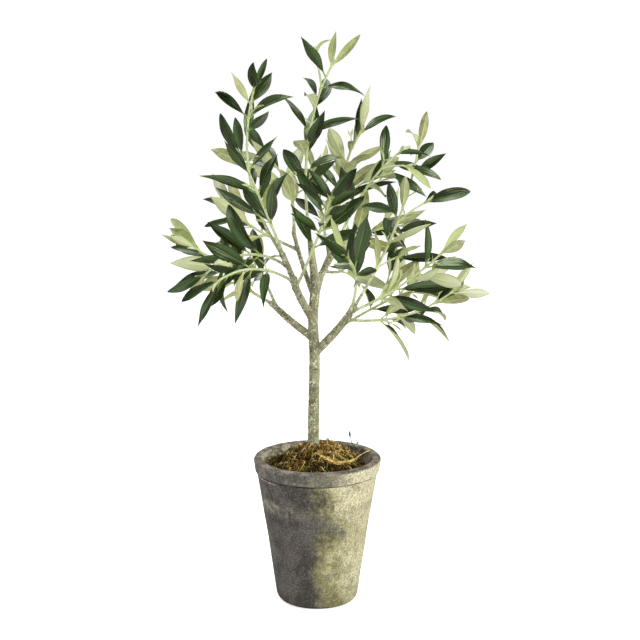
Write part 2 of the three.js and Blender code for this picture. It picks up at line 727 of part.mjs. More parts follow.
// A leaf's solid: a flat blade over a keel, its root sunk to the middle of the stem.
function leafBody(leaf) {
  const points = [];
  const triangles = [];
  for (const u of [0, ...LEAF_SECTIONS]) {
    const { middle, face, side } = leafMiddle(leaf, u);
    const half = u === 0 ? STALK_HALF_WIDTH : leafHalfWidth(leaf, u);
    points.push(
      middle.clone().addScaledVector(side, -half),
      middle.clone().addScaledVector(side, half),
      middle.clone().addScaledVector(face, -LEAF_THICKNESS),
    );
  }
  const tip = points.push(leafMiddle(leaf, 1).middle) - 1;
  const last = LEAF_SECTIONS.length * 3;
  triangles.push([0, 1, 2]);
  for (let section = 0; section < LEAF_SECTIONS.length; section += 1) {
    for (let k = 0; k < 3; k += 1) {
      const a = section * 3 + k;
      const b = section * 3 + ((k + 1) % 3);
      triangles.push([a, b + 3, b], [a, a + 3, b + 3]);
    }
  }
  for (let k = 0; k < 3; k += 1) triangles.push([last + k, tip, last + ((k + 1) % 3)]);
  return bodyFrom(points, triangles);
}

// A stem or twig's solid, with a short bud past its last pair of leaves.
function stemBody(line, radii, steps) {
  const stations = [];
  for (let k = 0; k <= steps; k += 1) {
    const t = k / steps;
    stations.push({ middle: line.point(t), direction: line.direction(t), radius: blend(...radii, t) });
  }
  const tip = stations[steps];
  stations.push({
    middle: tip.middle.clone().addScaledVector(tip.direction, BUD_LENGTH),
    direction: tip.direction,
    radius: tip.radius * BUD_TAPER,
  });
  return tube(stations, STEM_SIDES);
}

function sprayGeometry(name) {
  const { stem, twigs, leaves } = grown[name];
  let whole = toSolid(stemBody(stem, STEM_RADII, STEM_STEPS));
  for (const twig of twigs) whole = whole.add(toSolid(stemBody(twig, TWIG_RADII, TWIG_STEPS)));
  for (const leaf of leaves) whole = whole.add(toSolid(leafBody(leaf)));
  return toGeometry(whole.subtract(swollen(SPRAYS[name].from)));
}

const MATERIALS = {
  clay: new THREE.MeshStandardMaterial({ color: 0x7c7765, roughness: 0.95, metalness: 0 }),
  fill: new THREE.MeshStandardMaterial({ color: 0x4a3d2c, roughness: 1, metalness: 0 }),
  moss: new THREE.MeshStandardMaterial({ color: 0x5f5524, roughness: 1, metalness: 0 }),
  bark: new THREE.MeshStandardMaterial({ color: 0x8f8b73, roughness: 0.9, metalness: 0 }),
  leaf: new THREE.MeshStandardMaterial({ color: 0x35502f, roughness: 0.5, metalness: 0 }),
};

const tree = new THREE.Group();

function addPiece(name, geometry, material) {
  const mesh = new THREE.Mesh(geometry, material);
  mesh.name = name;
  tree.add(mesh);
}

addPiece('pot', potGeometry(), MATERIALS.clay);
addPiece('planting_fill', fillGeometry(), MATERIALS.fill);
addPiece('moss', toGeometry(toSolid(mossGeometry()).subtract(swollen('trunk'))), MATERIALS.moss);
addPiece('trunk', trunkTube(0), MATERIALS.bark);
for (const [name, bough] of Object.entries(BOUGHS)) {
  const cut = toSolid(boughTube(name, 0)).subtract(swollen(bough.from));
  addPiece(`bough_${name}`, toGeometry(cut), MATERIALS.bark);
}
for (const name of Object.keys(SPRAYS)) {
  addPiece(`spray_${name}`, sprayGeometry(name), MATERIALS.leaf);
}

export default tree;
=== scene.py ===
# %% [markdown]
# # An artificial olive tree in a clay pot
# The real object stands about 61 cm tall: a wire tree in a moulded bark covering, pale plastic stems with
# stamped leaves, a bed of dried moss, and a weathered clay pot. The CAD frame already holds every piece in
# its place. This file opens that frame and dresses it: each plain solid is either given a finish or replaced
# by a finer mesh of the same size. Everything stays in the frame's own space, so nothing is fitted later.

import math

import bpy
import numpy as np
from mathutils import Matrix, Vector, noise


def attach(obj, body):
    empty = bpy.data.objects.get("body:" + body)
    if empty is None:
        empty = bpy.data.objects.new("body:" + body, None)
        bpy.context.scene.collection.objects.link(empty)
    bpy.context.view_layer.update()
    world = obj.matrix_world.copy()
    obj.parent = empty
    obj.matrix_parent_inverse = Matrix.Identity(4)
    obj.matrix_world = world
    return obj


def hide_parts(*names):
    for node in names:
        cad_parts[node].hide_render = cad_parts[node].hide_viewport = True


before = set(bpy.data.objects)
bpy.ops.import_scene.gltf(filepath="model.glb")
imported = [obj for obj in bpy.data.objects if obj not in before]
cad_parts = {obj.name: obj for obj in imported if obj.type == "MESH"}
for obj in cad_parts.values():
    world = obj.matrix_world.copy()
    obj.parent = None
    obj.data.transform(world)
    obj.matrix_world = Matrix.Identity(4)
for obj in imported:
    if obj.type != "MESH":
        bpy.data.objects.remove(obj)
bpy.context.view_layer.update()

# %% [markdown]
# ## Camera, floor and light
# A product photograph of a small tree is taken from a little over a metre and a half away, with a long lens
# that keeps the pot's sides from leaning. The camera looks down about eleven degrees, which shows the moss
# inside the rim. The light is soft and comes from large panels in a dim room, so that the leaves have broad
# highlights and deep greens. A light table does the rest: the floor and the backdrop glow for the camera
# alone, so the ground stays pale to the horizon without throwing its light up into the tree.

# %% Camera at the photograph's angle
MM = 0.001
CAMERA_PLACE = (0.003, -1.635, 0.6315)
LOOK_DOWN = 11.2
SENSOR_WIDTH = 36.0
LENS = 88.93

camera_data = bpy.data.cameras.new("studio_camera")
camera_data.sensor_width = SENSOR_WIDTH
camera_data.lens = LENS
camera = bpy.data.objects.new("studio_camera", camera_data)
camera.location = CAMERA_PLACE
camera.rotation_euler = (math.radians(90 - LOOK_DOWN), 0.0, 0.0)
bpy.context.collection.objects.link(camera)
bpy.context.scene.camera = camera
bpy.context.scene.view_settings.view_transform = "Standard"
print("camera", [round(value, 3) for value in camera.location], "lens", camera_data.lens)


# %% Colours as a painter reads them
def paint(red, green, blue):
    """A colour given as it is read on a screen, 0 to 255, turned into the linear light that Blender mixes."""
    linear = []
    for value in (red, green, blue):
        share = value / 255
        linear.append(share / 12.92 if share <= 0.04045 else ((share + 0.055) / 1.055) ** 2.4)
    return (*linear, 1.0)


def new_material(name):
    """A material with its node tree open, and its shader ready to be fed."""
    material = bpy.data.materials.new(name)
    material.use_nodes = True
    tree = material.node_tree
    return material, tree, tree.nodes["Principled BSDF"]


# %% Floor
WHITE = (1.0, 1.0, 1.0, 1.0)
FLOOR_GREY = (0.9, 0.9, 0.9, 1.0)
FLOOR_GLOW = 0.705
FLOOR_REACH = 30.0


def for_ray(tree, kind, strength, otherwise):
    """A strength that holds for one kind of ray, and another for the rest."""
    path = tree.nodes.new("ShaderNodeLightPath")
    choice = tree.nodes.new("ShaderNodeMix")
    tree.links.new(path.outputs[kind], choice.inputs[0])
    choice.inputs[3].default_value = strength
    if isinstance(otherwise, bpy.types.NodeSocket):
        tree.links.new(otherwise, choice.inputs[2])
    else:
        choice.inputs[2].default_value = otherwise
    return choice.outputs[0]


floor_material, tree, shader = new_material("studio_floor")
shader.inputs["Base Color"].default_value = FLOOR_GREY
shader.inputs["Roughness"].default_value = 0.9
shader.inputs["Specular IOR Level"].default_value = 0.0
shader.inputs["Emission Color"].default_value = WHITE
tree.links.new(for_ray(tree, "Is Camera Ray", FLOOR_GLOW, 0.0), shader.inputs["Emission Strength"])
floor_mesh = bpy.data.meshes.new("floor")
floor_corners = [(x * FLOOR_REACH, y * FLOOR_REACH, 0.0) for x, y in ((-1, -1), (1, -1), (1, 1), (-1, 1))]
floor_mesh.from_pydata(floor_corners, [], [(0, 1, 2, 3)])
floor_mesh.materials.append(floor_material)
floor = bpy.data.objects.new("floor", floor_mesh)
bpy.context.collection.objects.link(floor)
print("floor", floor.dimensions[:])

# %% Soft light
ROOM_LIGHT = 0.34
ROOM_GLOSS = 0.14
BACKDROP_GLOW = 1.02
LAMP_AIM = Vector((0.0, 0.0, 0.3))

world = bpy.data.worlds.new("studio")
bpy.context.scene.world = world
world.use_nodes = True
backdrop = world.node_tree.nodes["Background"]
backdrop.inputs["Color"].default_value = WHITE
room = for_ray(world.node_tree, "Is Glossy Ray", ROOM_GLOSS, ROOM_LIGHT)
room = for_ray(world.node_tree, "Is Camera Ray", BACKDROP_GLOW, room)
world.node_tree.links.new(room, backdrop.inputs["Strength"])


def add_panel(name, place, size, watts, colour):
    """A large square lamp that faces the middle of the tree."""
    lamp_data = bpy.data.lights.new(name, "AREA")
    lamp_data.shape = "SQUARE"
    lamp_data.size = size
    lamp_data.energy = watts
    lamp_data.color = colour
    lamp = bpy.data.objects.new(name, lamp_data)
    lamp.location = place
    lamp.rotation_euler = (LAMP_AIM - Vector(place)).to_track_quat("-Z", "Y").to_euler()
    bpy.context.collection.objects.link(lamp)
    print("lamp", name, watts, "W")


add_panel("key_panel", (1.25, -1.15, 1.2), 0.9, 27.0, (1.0, 0.985, 0.95))
add_panel("front_panel", (0.2, -1.5, 1.8), 1.1, 4.5, (0.98, 1.0, 0.98))
add_panel("fill_panel", (-1.5, -1.1, 0.8), 1.4, 13.0, (0.95, 0.98, 1.0))
add_panel("top_panel", (-0.2, 0.5, 1.75), 1.1, 17.0, (0.96, 0.99, 1.0))
add_panel("back_panel", (-1.0, 1.3, 0.9), 1.0, 9.0, (0.96, 0.99, 1.0))

# %% [markdown]
# ## The tree's lines
# A maker of such trees bends one thick wire for the trunk, binds thinner wires to it for the boughs and
# winds a leafy stem round the end of each. So the tree is drawn as lines first: a route for the trunk and one
# gentle bow for every bough and stem. The same lines carry the solids of the CAD model, so the fine meshes
# made from them here lie exactly where those solids are. Lengths are in millimetres until a mesh is made.

# %% Trunk and boughs as lines
UP = np.array((0.0, 0.0, 1.0))
FRONT = np.array((0.0, -1.0, 0.0))
TRUNK_ROUTE = [(-4, 0, 140.3), (-4, 0, 185), (-3.4, 0, 226), (-2.8, 0, 267), (-4.3, 0, 308), (-2.4, 0, 345),
               (-7.4, 8, 391)]
# Each bough has what carries it and where, its tip, the bow of its middle, and its radii at foot and tip.
BOUGHS = {
    "right_low": ("trunk", 272, (38, -25, 326), (5, -2, 3), (4.8, 3.6)),
    "left_low": ("trunk", 288, (-48, 20, 322), (-4, 2, 1), (4.3, 3.2)),
    "left_mid": ("trunk", 308, (-25, -12, 354), (-3, -1, 2), (4.2, 3.8)),
    "left_top": ("left_mid", 1, (-36, -26, 382), (0, 0, 1), (3.1, 2.8)),
    "back_right": ("trunk", 322, (13, 55, 367), (0, 4, 6), (3.3, 2.6)),
    "back_left": ("trunk", 331, (-25, 36, 395), (-1, 2, -1), (2.9, 2.1)),
    "right_up": ("trunk", 342, (20, 22, 379), (1, 1, 4), (3.7, 3.0)),
}


def unit(vector):
    """The same direction with length one."""
    return vector / np.linalg.norm(vector)


def blend(a, b, share):
    """From a to b."""
    return a + (b - a) * share


class RoutedLine:
    """A smooth line through a list of stops."""

    def __init__(self, stops):
        self.stops = np.array(stops, dtype=float)

    def point(self, t):
        spans = len(self.stops) - 1
        place = min(max(t, 0.0), 1.0) * spans
        i = min(int(place), spans - 1)
        s = place - i
        a = self.stops[max(i - 1, 0)]
        b = self.stops[i]
        c = self.stops[i + 1]
        d = self.stops[min(i + 2, spans)]
        bend = (2 * a - 5 * b + 4 * c - d) * s * s + (3 * b - a - 3 * c + d) * s * s * s
        return 0.5 * (2 * b + (c - a) * s + bend)

    def direction(self, t):
        step = 1e-3
        return unit(self.point(min(t + step, 1.0)) - self.point(max(t - step, 0.0)))


class BowedLine:
    """A line from start to tip whose middle lies off the straight by bow."""

    def __init__(self, start, tip, bow):
        self.start = np.array(start, dtype=float)
        self.tip = np.array(tip, dtype=float)
        self.control = (self.start + self.tip) * 0.5 + np.array(bow, dtype=float) * 2
        self.length = float(np.linalg.norm(self.point(0.5) - self.start) * 2)

    def point(self, t):
        return self.start * (1 - t) ** 2 + self.control * (2 * t * (1 - t)) + self.tip * (t * t)

    def direction(self, t):
        return unit((self.control - self.start) * (1 - t) + (self.tip - self.control) * t)


trunk_line = RoutedLine(TRUNK_ROUTE)


def trunk_at(height):
    """The trunk's middle at a height, found by halving."""
    low = 0.0
    high = 1.0
    for _ in range(40):
        middle = (low + high) / 2
        if trunk_line.point(middle)[2] < height:
            low = middle
        else:
            high = middle
    return trunk_line.point(low)


bough_lines = {}
bough_radii = {}


def foot_on(carrier, at):
    """Where a bough or stem leaves what carries it: at a height of the trunk, or at a share of a bough."""
    return trunk_at(at) if carrier == "trunk" else bough_lines[carrier].point(at)


for name, (carrier, at, tip, bow, radii) in BOUGHS.items():
    bough_lines[name] = BowedLine(foot_on(carrier, at), tip, bow)
    bough_radii[name] = radii
print("boughs", {name: round(line.length, 1) for name, line in bough_lines.items()})

# %% Sprays as lines
def spray(carrier, at, tip, bow, pairs, first, seed, side=0.0, hang=0.0):
    """A spray of leaves: what carries its stem and where, the stem's line, the leaves' pairs and the lowest
    pair's share of the stem, the seed of its draws, the chance of side twigs, and how far its leaves hang."""
    return {"from": carrier, "at": at, "tip": tip, "bow": bow, "pairs": pairs, "first": first, "seed": seed,
            "side": side, "hang": hang}


SPRAYS = {
    "top": spray("trunk", 391, (14, -6, 571), (-13, 1, 10), 6, 0.28, 2000, side=0.5),
    "left_top": spray("left_top", 1, (-64, -35, 548), (-18, -2, -4), 6, 0.25, 278, side=0.5),
    "left_high": spray("left_top", 0.7, (-74, -62, 484), (3, -16, -2), 3, 0.4, 249),
    "left_far": spray("left_top", 0.4, (-114, -26, 362), (1, -7, 18), 4, 0.35, 1290, side=0.3),
    "left_front": spray("left_mid", 0.9, (-96, -80, 365), (-1, -12, 14), 4, 0.35, 1083, side=0.4, hang=0.35),
    "left_low": spray("left_low", 0.97, (-126, 10, 383), (-2, -1, -3), 5, 0.25, 124, side=0.4),
    "left_back": spray("left_low", 0.85, (-79, 66, 361), (1, 3, 8), 3, 0.4, 94),
    "back_high": spray("back_left", 1, (-52, 72, 469), (8, 8, 8), 4, 0.3, 30),
    "back_left": spray("back_left", 0.75, (-91, 62, 415), (-9, 7, 0), 4, 0.35, 83),
    "front": spray("left_mid", 0.75, (12, -68, 441), (3, -6, 3), 4, 0.45, 195),
    "right_high": spray("right_up", 1, (45, 36, 500), (-6, 3, 13), 5, 0.3, 417, side=0.4),
    "right_crest": spray("right_up", 0.8, (81, -22, 484), (-3, -8, 11), 4, 0.4, 20, side=0.3, hang=0.3),
    "right_top": spray("right_low", 1, (103, -16, 487), (9, -2, 0), 6, 0.25, 1490, side=0.5),
    "right_mid": spray("right_up", 0.6, (86, 62, 399), (-2, 7, 7), 4, 0.4, 158),
    "right_far": spray("right_low", 0.88, (126, -30, 382), (2, 1, -5), 5, 0.3, 190, side=0.5),
    "right_low": spray("right_low", 0.7, (142, 20, 333), (3, 9, -13), 5, 0.3, 1725, side=0.3, hang=0.1),
    "right_front": spray("right_low", 0.8, (32, -82, 385), (7, -9, 7), 3, 0.5, 52),
    "right_back": spray("right_low", 0.5, (117, 70, 332), (2, 12, 2), 4, 0.35, 71),
    "back": spray("back_right", 1, (0, 92, 448), (-2, 6, 3), 4, 0.3, 192),
    "back_low": spray("back_right", 0.6, (38, 110, 373), (8, 6, -14), 4, 0.35, 54),
}
stem_lines = {}
for name, facts in SPRAYS.items():
    stem_lines[name] = BowedLine(foot_on(facts["from"], facts["at"]), facts["tip"], facts["bow"])
print(len(stem_lines), "stems,", round(sum(line.length for line in stem_lines.values())), "mm in all")

# %% [markdown]
# ## How the leaves grow
# An olive carries its leaves in pairs, each pair turned a quarter round from the one below. The real leaves
# are stamped in a few sizes and pushed onto the stem, and each is bent by hand so that none touches the next.
# The rule below does the same: it tries a place for a leaf, tests it against everything that has already
# grown, and tries again or gives up. It is the CAD source's own rule with the same seeds, so the fine leaves
# grow in the same places as the plain ones that they replace.

# %% The leaf's curve and outline
LEAF_LENGTH = 57
LEAF_RATIO = 0.218
STALK_SHARE = 0.09
STALK_HALF_WIDTH = 0.7
USUAL_BELLY = 0.92
USUAL_POINT = 0.85
SAMPLE_ROWS = 12
SAMPLE_COLUMNS = (-1, -0.5, 0, 0.5, 1)


def leaf_middle(leaf, u):
    """A point on the leaf's middle rib with the way its upper side and its right edge face there."""
    bend = leaf["arch"] / leaf["length"]
    turned = bend * u * leaf["length"]
    ahead = leaf["aim"] * (math.sin(turned) / bend)
    middle = leaf["root"] + ahead - leaf["face"] * ((1 - math.cos(turned)) / bend)
    face = leaf["face"] * math.cos(turned) + leaf["aim"] * math.sin(turned)
    return middle, face, np.cross(face, leaf["aim"])


def blade_swell(u, belly, point):
    """How full a blade is at a share of its length: belly moves its widest place, point shapes its ends."""
    share = min((u - STALK_SHARE) / (1 - STALK_SHARE), 0.999)
    return math.sin(math.pi * share ** belly) ** point


def blade_half(leaf):
    """Half the blade's greatest width."""
    return 0.5 * leaf["length"] * LEAF_RATIO * leaf["wide"]


def leaf_half_width(leaf, u):
    """Half the blade's width at a share of its length."""
    if u >= 1:
        return 0.0
    if u < STALK_SHARE:
        return STALK_HALF_WIDTH
    return max(STALK_HALF_WIDTH, blade_half(leaf) * blade_swell(u, USUAL_BELLY, USUAL_POINT))


def leaf_samples(leaf):
    """Points spread over a blade, five across and twelve along."""
    samples = []
    for row in range(1, SAMPLE_ROWS + 1):
        middle, _, side = leaf_middle(leaf, row / SAMPLE_ROWS)
        half = leaf_half_width(leaf, row / SAMPLE_ROWS)
        samples += [middle + side * (across * half) for across in SAMPLE_COLUMNS]
    return np.array(samples)


# %% A seeded run of draws, and the space already taken
PRIME = 2147483647
DRAW_STEP = 16807
SEED_STEP = 7919
TRUNK_KEPT_CLEAR = 4.5
BOUGH_KEPT_CLEAR = 3.0
STEM_KEPT_CLEAR = 1.2


class Draws:
    """A run of numbers that any program can repeat from the same seed."""

    def __init__(self, seed):
        self.state = (seed * SEED_STEP) % PRIME
        for _ in range(3):
            self.next()

    def next(self):
        self.state = (self.state * DRAW_STEP) % PRIME
        return self.state / PRIME

    def between(self, low, high):
        return low + (high - low) * self.next()

    def angle(self, low, high):
        return math.radians(self.between(low, high))


taken = []


def ball_round(points):
    """The middle of some points and how far they reach from it."""
    centre = points.mean(axis=0)
    return centre, float(np.linalg.norm(points - centre, axis=1).max())


def take(owner, points, radius):
    """Marks the space round these points as taken."""
    taken.append((owner, points, radius, *ball_round(points)))


def is_clear(points, clearance, ignored=None):
    """True if the points keep their distance from everything that is taken."""
    centre, reach = ball_round(points)
    for owner, others, radius, other_centre, other_reach in taken:
        if owner == ignored:
            continue
        if np.linalg.norm(other_centre - centre) - other_reach - radius - reach > clearance:
            continue
        offsets = points[:, None, :] - others[None, :, :]
        if (offsets ** 2).sum(axis=2).min() < (clearance + radius) ** 2:
            return False
    return True


def points_along(line, start, count):
    """Evenly spaced points from a share of a line to its tip."""
    return np.array([line.point(t) for t in np.linspace(start, 1, count)])


take("trunk", points_along(trunk_line, 0, 80), TRUNK_KEPT_CLEAR)
for name, line in bough_lines.items():
    take(name, points_along(line, 0.12, 24), BOUGH_KEPT_CLEAR)
for name, line in stem_lines.items():
    take(f"stem_{name}", points_along(line, 0.15, 40), STEM_KEPT_CLEAR)
print("lines taken:", len(taken))

# %% One leaf
LEAF_SPREAD = (26, 54)
TIP_LEAF_SPREAD = (14, 34)
UPPER_SIDE_SHOWN = 0.62
LOOK_ALONG = 0.45
LOOK_TO_FRONT = (0.3, 1.5)
LOOK_UP = 0.3
LOOK_ASIDE = (-0.5, 0.5)
LEAF_TWIST = 28
LEAF_STRETCH = (0.78, 1.2)
LEAF_BROADNESS = (0.85, 1.12)
LEAF_ARCH = (4, 48)
CURLED_ARCH = (60, 85)
CURLED_LEAVES = 0.06
LEAF_TRIES = 6
LEAF_CLEARANCE = 3.4
TIGHT_CLEARANCE = 2.8
CROWN_TOP = 610


def square_to(direction, rough):
    """The direction nearest to a rough one that is square to the first."""
    return unit(rough - direction * rough.dot(direction))


def grow_leaf(spray, draws, root, along, outward, at_tip, size):
    """One leaf: a few tries at a place that is clear of everything else, then it is skipped."""
    for attempt in range(LEAF_TRIES):
        spread = draws.angle(*(TIP_LEAF_SPREAD if at_tip else LEAF_SPREAD))
        aim = unit(along * math.cos(spread) + outward * math.sin(spread) - UP * spray["hang"])
        shown = 1 if draws.next() < UPPER_SIDE_SHOWN else -1
        to_front = FRONT * (shown * draws.between(*LOOK_TO_FRONT))
        looking = along * LOOK_ALONG + to_front + UP * (LOOK_UP * shown)
        looking = square_to(aim, looking + outward * draws.between(*LOOK_ASIDE))
        twist = draws.angle(-LEAF_TWIST, LEAF_TWIST)
        face = looking * math.cos(twist) + np.cross(aim, looking) * math.sin(twist)
        length = size * draws.between(*LEAF_STRETCH)
        arch = LEAF_ARCH if draws.next() > CURLED_LEAVES else CURLED_ARCH
        leaf = {"root": root, "aim": aim, "face": face, "length": length, "arch": draws.angle(*arch),
                "wide": draws.between(*LEAF_BROADNESS), "at_tip": at_tip}
        samples = leaf_samples(leaf)
        clearance = LEAF_CLEARANCE if attempt < LEAF_TRIES - 2 else TIGHT_CLEARANCE
        if samples[:, 2].max() <= CROWN_TOP and is_clear(samples[10:], clearance):
            leaf["place"] = len(taken)
            take(f"leaf_{len(taken)}", samples[5:], 0)
            return leaf
    return None


# %% One spray
TWIG_SPREAD = (35, 50)
TWIG_LENGTH = (20, 34)
TWIG_LIFT = 0.15
TWIG_BOW = 1.5
TWIG_TRIES = 5
TWIG_CLEARANCE = 2.6
TWIG_KEPT_CLEAR = 1
TWIG_LEAF_SIZE = 0.85
TIP_LEAF_SIZE = 0.82
LOW_LEAF_SIZE = 1.08
SIZE_LOSS = 0.25
PAIR_TURN = 90
PAIR_WANDER = 25
MISSING_LEAVES = 0.08


def grow_twig(name, draws, root, along, outward, leaves):
    """A side twig with a pair of leaves at its tip."""
    for attempt in range(TWIG_TRIES):
        spread = draws.angle(*TWIG_SPREAD)
        aim = unit(along * math.cos(spread) + outward * math.sin(spread) + UP * TWIG_LIFT)
        tip = root + aim * draws.between(*TWIG_LENGTH)
        twig = BowedLine(root, tip, along * TWIG_BOW)
        samples = points_along(twig, 0.25, 10)
        if is_clear(samples, TWIG_CLEARANCE, f"stem_{name}" if attempt > 2 else None):
            take("twig", samples, TWIG_KEPT_CLEAR)
            end = twig.direction(1)
            across = unit(np.cross(end, along))
            for side in (1, -1):
                size = LEAF_LENGTH * TWIG_LEAF_SIZE
                leaves.append(grow_leaf(SPRAYS[name], draws, tip, end, across * side, True, size))
            return twig
    return None


def sideways(along, turn):
    """A direction square to a line, turned round it from where it stands square to the front as well."""
    start = unit(np.cross(along, FRONT if abs(along[1]) < 0.9 else UP))
    return start * math.cos(turn) + np.cross(along, start) * math.sin(turn)


def grow_spray(name):
    """Pairs of leaves set crosswise up the stem, the last pair at its tip."""
    spray = SPRAYS[name]
    stem = stem_lines[name]
    draws = Draws(spray["seed"])
    leaves = []
    twigs = []
    nodes = []
    start = draws.between(0, 180)
    for k in range(spray["pairs"]):
        at_tip = k == spray["pairs"] - 1
        t = blend(spray["first"], 1, k / (spray["pairs"] - 1))
        root = stem.point(t)
        along = stem.direction(t)
        turn = math.radians(start + PAIR_TURN * k + draws.between(-PAIR_WANDER, PAIR_WANDER))
        nodes.append((t, turn))
        for side in (1, -1):
            outward = sideways(along, turn) * side
            twig_side = 1 if k % 4 == 0 else -1
            twig_place = spray["side"] and not at_tip and k % 2 == 0 and side == twig_side
            if twig_place and draws.next() < spray["side"]:
                twigs.append(grow_twig(name, draws, root, along, outward, leaves))
            if not at_tip and draws.next() < MISSING_LEAVES:
                continue
            size = LEAF_LENGTH * (TIP_LEAF_SIZE if at_tip else LOW_LEAF_SIZE - SIZE_LOSS * t)
            leaves.append(grow_leaf(spray, draws, root, along, outward, at_tip, size))
    return {"stem": stem, "nodes": nodes, "twigs": [twig for twig in twigs if twig is not None],
            "leaves": [leaf for leaf in leaves if leaf is not None]}


grown = {name: grow_spray(name) for name in SPRAYS}
print(sum(len(spray["leaves"]) for spray in grown.values()), "leaves in pairs,",
      sum(len(spray["twigs"]) for spray in grown.values()), "side twigs")

# %% Smaller leaves between the pairs, and broader ones
FILLING_SEED = 9
FILLING_SHARE = 0.5
FILLING_TURN = 45
FILLING_LEAF_SIZE = 0.84
BROADER_STAMPS = (1.3, 1.15)
BROADER_EVERY = 3


def fill_out(name, draws):
    """Smaller leaves between the pairs, wherever there is still room."""
    spray = grown[name]
    for (low, low_turn), (high, _) in zip(spray["nodes"], spray["nodes"][1:]):
        t = (low + high) / 2
        root = spray["stem"].point(t)
        along = spray["stem"].direction(t)
        turn = low_turn + math.radians(FILLING_TURN + draws.between(-PAIR_WANDER, PAIR_WANDER))
        for side in (1, -1):
            if draws.next() > FILLING_SHARE:
                continue
            outward = sideways(along, turn) * side
            size = LEAF_LENGTH * FILLING_LEAF_SIZE
            leaf = grow_leaf(SPRAYS[name], draws, root, along, outward, False, size)
            if leaf is not None:
                spray["leaves"].append(leaf)


def broaden(leaf):
    """Leaves come in three breadths: this one takes the broadest that stays clear of everything else."""
    owner = taken[leaf["place"]][0]
    for share in BROADER_STAMPS:
        points = leaf_samples({**leaf, "wide": leaf["wide"] * share})[5:]
        if is_clear(points[5:], TIGHT_CLEARANCE, owner):
            leaf["wide"] *= share
            taken[leaf["place"]] = (owner, points, 0, *ball_round(points))
            return True
    return False


filling_draws = Draws(FILLING_SEED)
for name in SPRAYS:
    fill_out(name, filling_draws)
broader = sum(broaden(leaf) for spray in grown.values() for leaf in spray["leaves"][::BROADER_EVERY])
print(sum(len(spray["leaves"]) for spray in grown.values()), "leaves,", broader, "of them broader")

# %% [markdown]
# ## Finer shoots
# Between its leaves a real stem carries buds, and a maker copies the youngest of them as slips of leaf no
# longer than a fingernail. They are grown last, from seeds of their own, so that they can't disturb the
# leaves that the CAD model holds. Each tip gets a pair round its bud, and some joints get a short shoot.

# %% Young pairs and short shoots
YOUNG_SEEDS = (5000, 17)
YOUNG_LENGTH = 15
YOUNG_STRETCH = (0.75, 1.25)
YOUNG_ARCH = (5, 40)
YOUNG_BROADNESS = (0.85, 1.15)
BUD_PAIR_TURN = 1.1
BUD_PAIR_LIFT = 1.5
BUD_PAIR_SPREAD = (12, 30)
SHOOT_SHARE = 0.45
SHOOT_TURN = (50, 130)
SHOOT_AHEAD = 0.8
SHOOT_ASIDE = 0.6
SHOOT_LENGTH = (7, 13)
SHOOT_BOW = 0.6
SHOOT_CLEARANCE = 1.2
SHOOT_KEPT_CLEAR = 0.5
SHOOT_PAIR_SPREAD = (16, 38)
SHOOT_LEAF_SIZE = 0.85


def young_leaf(draws, root, along, outward, spread, size):
    """A slip of leaf that stands close to its shoot and faces back towards it."""
    aim = unit(along * math.cos(spread) + outward * math.sin(spread))
    face = square_to(aim, unit(along - aim * along.dot(aim) + outward * -0.2))
    return {"root": root, "aim": aim, "face": face, "length": size * draws.between(*YOUNG_STRETCH),
            "arch": draws.angle(*YOUNG_ARCH), "wide": draws.between(*YOUNG_BROADNESS), "at_tip": True}


def grow_young(name, number):
    """The finer shoots of one spray."""
    draws = Draws(YOUNG_SEEDS[0] + YOUNG_SEEDS[1] * number)
    spray = grown[name]
    stem = spray["stem"]
    shoots = []
    slips = []
    for line in (stem, *spray["twigs"]):
        along = line.direction(1)
        side = unit(sideways(along, BUD_PAIR_TURN))
        for sign in (1, -1):
            spread = draws.angle(*BUD_PAIR_SPREAD)
            root = line.tip + along * BUD_PAIR_LIFT
            slips.append(young_leaf(draws, root, along, side * sign, spread, YOUNG_LENGTH))
    for t, turn in spray["nodes"][:-1]:
        root = stem.point(t)
        along = stem.direction(t)
        for side in (1, -1):
            if draws.next() > SHOOT_SHARE:
                continue
            outward = sideways(along, turn + draws.angle(*SHOOT_TURN)) * side
            aim = unit(along * SHOOT_AHEAD + outward * SHOOT_ASIDE)
            tip = root + aim * draws.between(*SHOOT_LENGTH)
            shoot = BowedLine(root, tip, along * SHOOT_BOW)
            samples = points_along(shoot, 0.5, 5)
            if not is_clear(samples, SHOOT_CLEARANCE, f"stem_{name}"):
                continue
            take("shoot", samples, SHOOT_KEPT_CLEAR)
            shoots.append(shoot)
            facing = unit(np.cross(aim, along))
            for sign in (1, -1):
                spread = draws.angle(*SHOOT_PAIR_SPREAD)
                size = YOUNG_LENGTH * SHOOT_LEAF_SIZE
                slips.append(young_leaf(draws, tip, aim, facing * sign, spread, size))
    spray["shoots"] = shoots
    spray["slips"] = slips


for number, name in enumerate(SPRAYS):
    grow_young(name, number)
print(sum(len(spray["shoots"]) for spray in grown.values()), "short shoots,",
      sum(len(spray["slips"]) for spray in grown.values()), "young leaves")

# %% [markdown]
# ## Gathering shapes into one mesh
# A tree of a few hundred leaves would be slow to handle as a few hundred objects. So each kind of thing is
# gathered into one mesh as it is made: points, faces, the material of each face, and named numbers on the
# points, such as how far along its leaf a point lies. The materials read those numbers as attributes.

# %% A gatherer and a tube
SHARP_OVER = 50


